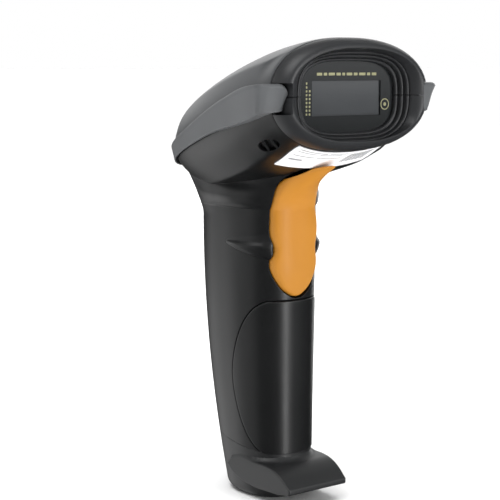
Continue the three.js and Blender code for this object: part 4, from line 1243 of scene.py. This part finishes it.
# ---- label ----
def underside_sections():
    """The head's lower outline near the nose, section by section, as (d, x, h)."""
    found = []
    for d in np.linspace(0.2, 24, 90):
        sx, sh = head_section(d, 0, keep=1)
        low = sh < -0.6 * head_bottom(d)
        order = np.argsort(sx[low])
        found.append((d, sx[low][order], sh[low][order]))
    return found


UNDERSIDE = underside_sections()


def underside(x, y):
    """Heights of the head's underside near the nose, along a line across it at y."""
    ys, zs = [], []
    for d, across, below in UNDERSIDE:
        point = head_point(x, d, np.interp(x, across, below))
        ys.append(point[..., 1])
        zs.append(point[..., 2])
    ys, zs = np.array(ys), np.array(zs)
    return np.array([np.interp(y, ys[:, j], zs[:, j]) for j in range(len(x))])


def film(x0, x1, y0, y1, low, high, steps):
    """A thin sheet that follows the underside, between two depths below it."""
    xs = np.linspace(x0, x1, steps[0])
    ys = np.linspace(y0, y1, steps[1])
    sheets = [[xyz(xs, y, underside(xs, y) - depth) for y in ys] for depth in (low, high)]
    return loft([np.vstack([root, face[::-1]]) for root, face in zip(*sheets)])


def rating_label():
    sheet = LABEL_SHEET
    return film(-sheet["half"], sheet["half"], HEAD_Y + sheet["front"], HEAD_Y + sheet["back"],
                sheet["under"], sheet["face"], (60, 24))


def label_marks():
    """Generic grey lines and blocks printed on the label."""
    marks = []
    rows = [(2.2, 0.55, [(-17.6, -6.0), (-4.8, 2.4)]), (3.7, 0.4, [(-17.6, -9.4), (-8.2, 1.2)]),
            (6.3, 0.4, [(-17.6, -8.8), (-7.6, 2.6)]), (8.6, 0.9, [(-17.6, -12.0)])]
    for offset, height, spans in rows:
        for x0, x1 in spans:
            y = HEAD_Y + offset
            marks.append(film(x0, x1, y, y + height, *PRINT_DEPTH, (16, 3)))
    x = 5.2
    for width in (0.4, 0.7, 0.3, 0.9, 0.4, 0.3, 0.6, 0.9, 0.3, 0.5, 0.8):
        marks.append(film(x, x + width, HEAD_Y + 3.0, HEAD_Y + 10.4, *PRINT_DEPTH, (3, 8)))
        x += width + 0.45
    return gather(marks)


# ---- assembly ----
stage()
dress_inner_nodes()
piece(top_cover(), "top_cover_shell", COVER, "cover", "top_cover")
piece(light_pipe(), "status_lens", FROSTED, "light_pipe", "status_light_pipe")
piece(lower_housing(), "lower_housing_shell", HOUSING_PLASTIC, "housing", "lower_housing")
whole_bezel = bezel()
upper_half = common(copy(whole_bezel), box(-60, 60, -60, -30, SPLIT_Z + 0.1, 200))
lower_half = common(whole_bezel, box(-60, 60, -60, -30, 100, SPLIT_Z - 0.1))
piece(upper_half, "bezel_upper", BEZEL_PLASTIC, "bezel", "nose_bezel_upper")
piece(lower_half, "bezel_lower", BEZEL_PLASTIC, "bezel", "nose_bezel_lower")
piece(window_mask(), "window_mask", PANE, "window", "scan_window")
piece(window_clear(), "window_clear", CLEAR, "window")
piece(printed_marks(), "window_marks", PRINT, "label")
piece(bumper(), "bumper", BUMPER, "bumper", "bumper_band")
piece(gather([port_screen(1), port_screen(-1)]), "port_screens", RUBBER, "gasket")
piece(grip_panel(), "grip_panel", HOUSING_PLASTIC, "housing", "front_grip_panel")
piece(base_cap(), "base_cap_shell", CAP_PLASTIC, "cover", "base_cap")
piece(base_screw(), "base_screw_fine", STEEL, "steel", "base_screw")
for side in ("left", "right"):
    cad_screw = "cover_screw_" + side
    piece(cover_screw(cad_screw), "cover_screw_fine_" + side, STEEL, "steel", cad_screw)
piece(rating_label(), "label_sheet", LABEL, "label", "rating_label")
piece(label_marks(), "label_marks", LABEL_PRINT, "label")
pin = rod("x", PIN_RADIUS, -PIN_HALF, PIN_HALF, pin_centre())
piece(pin, "trigger_pin_fine", STEEL, "steel", "trigger_pin")
piece(trigger(), "trigger_blade", AMBER, "trigger", "trigger", body=TRIGGER)

for leftover in list(scratch.objects):
    bpy.data.objects.remove(leftover)
bpy.data.collections.remove(scratch)
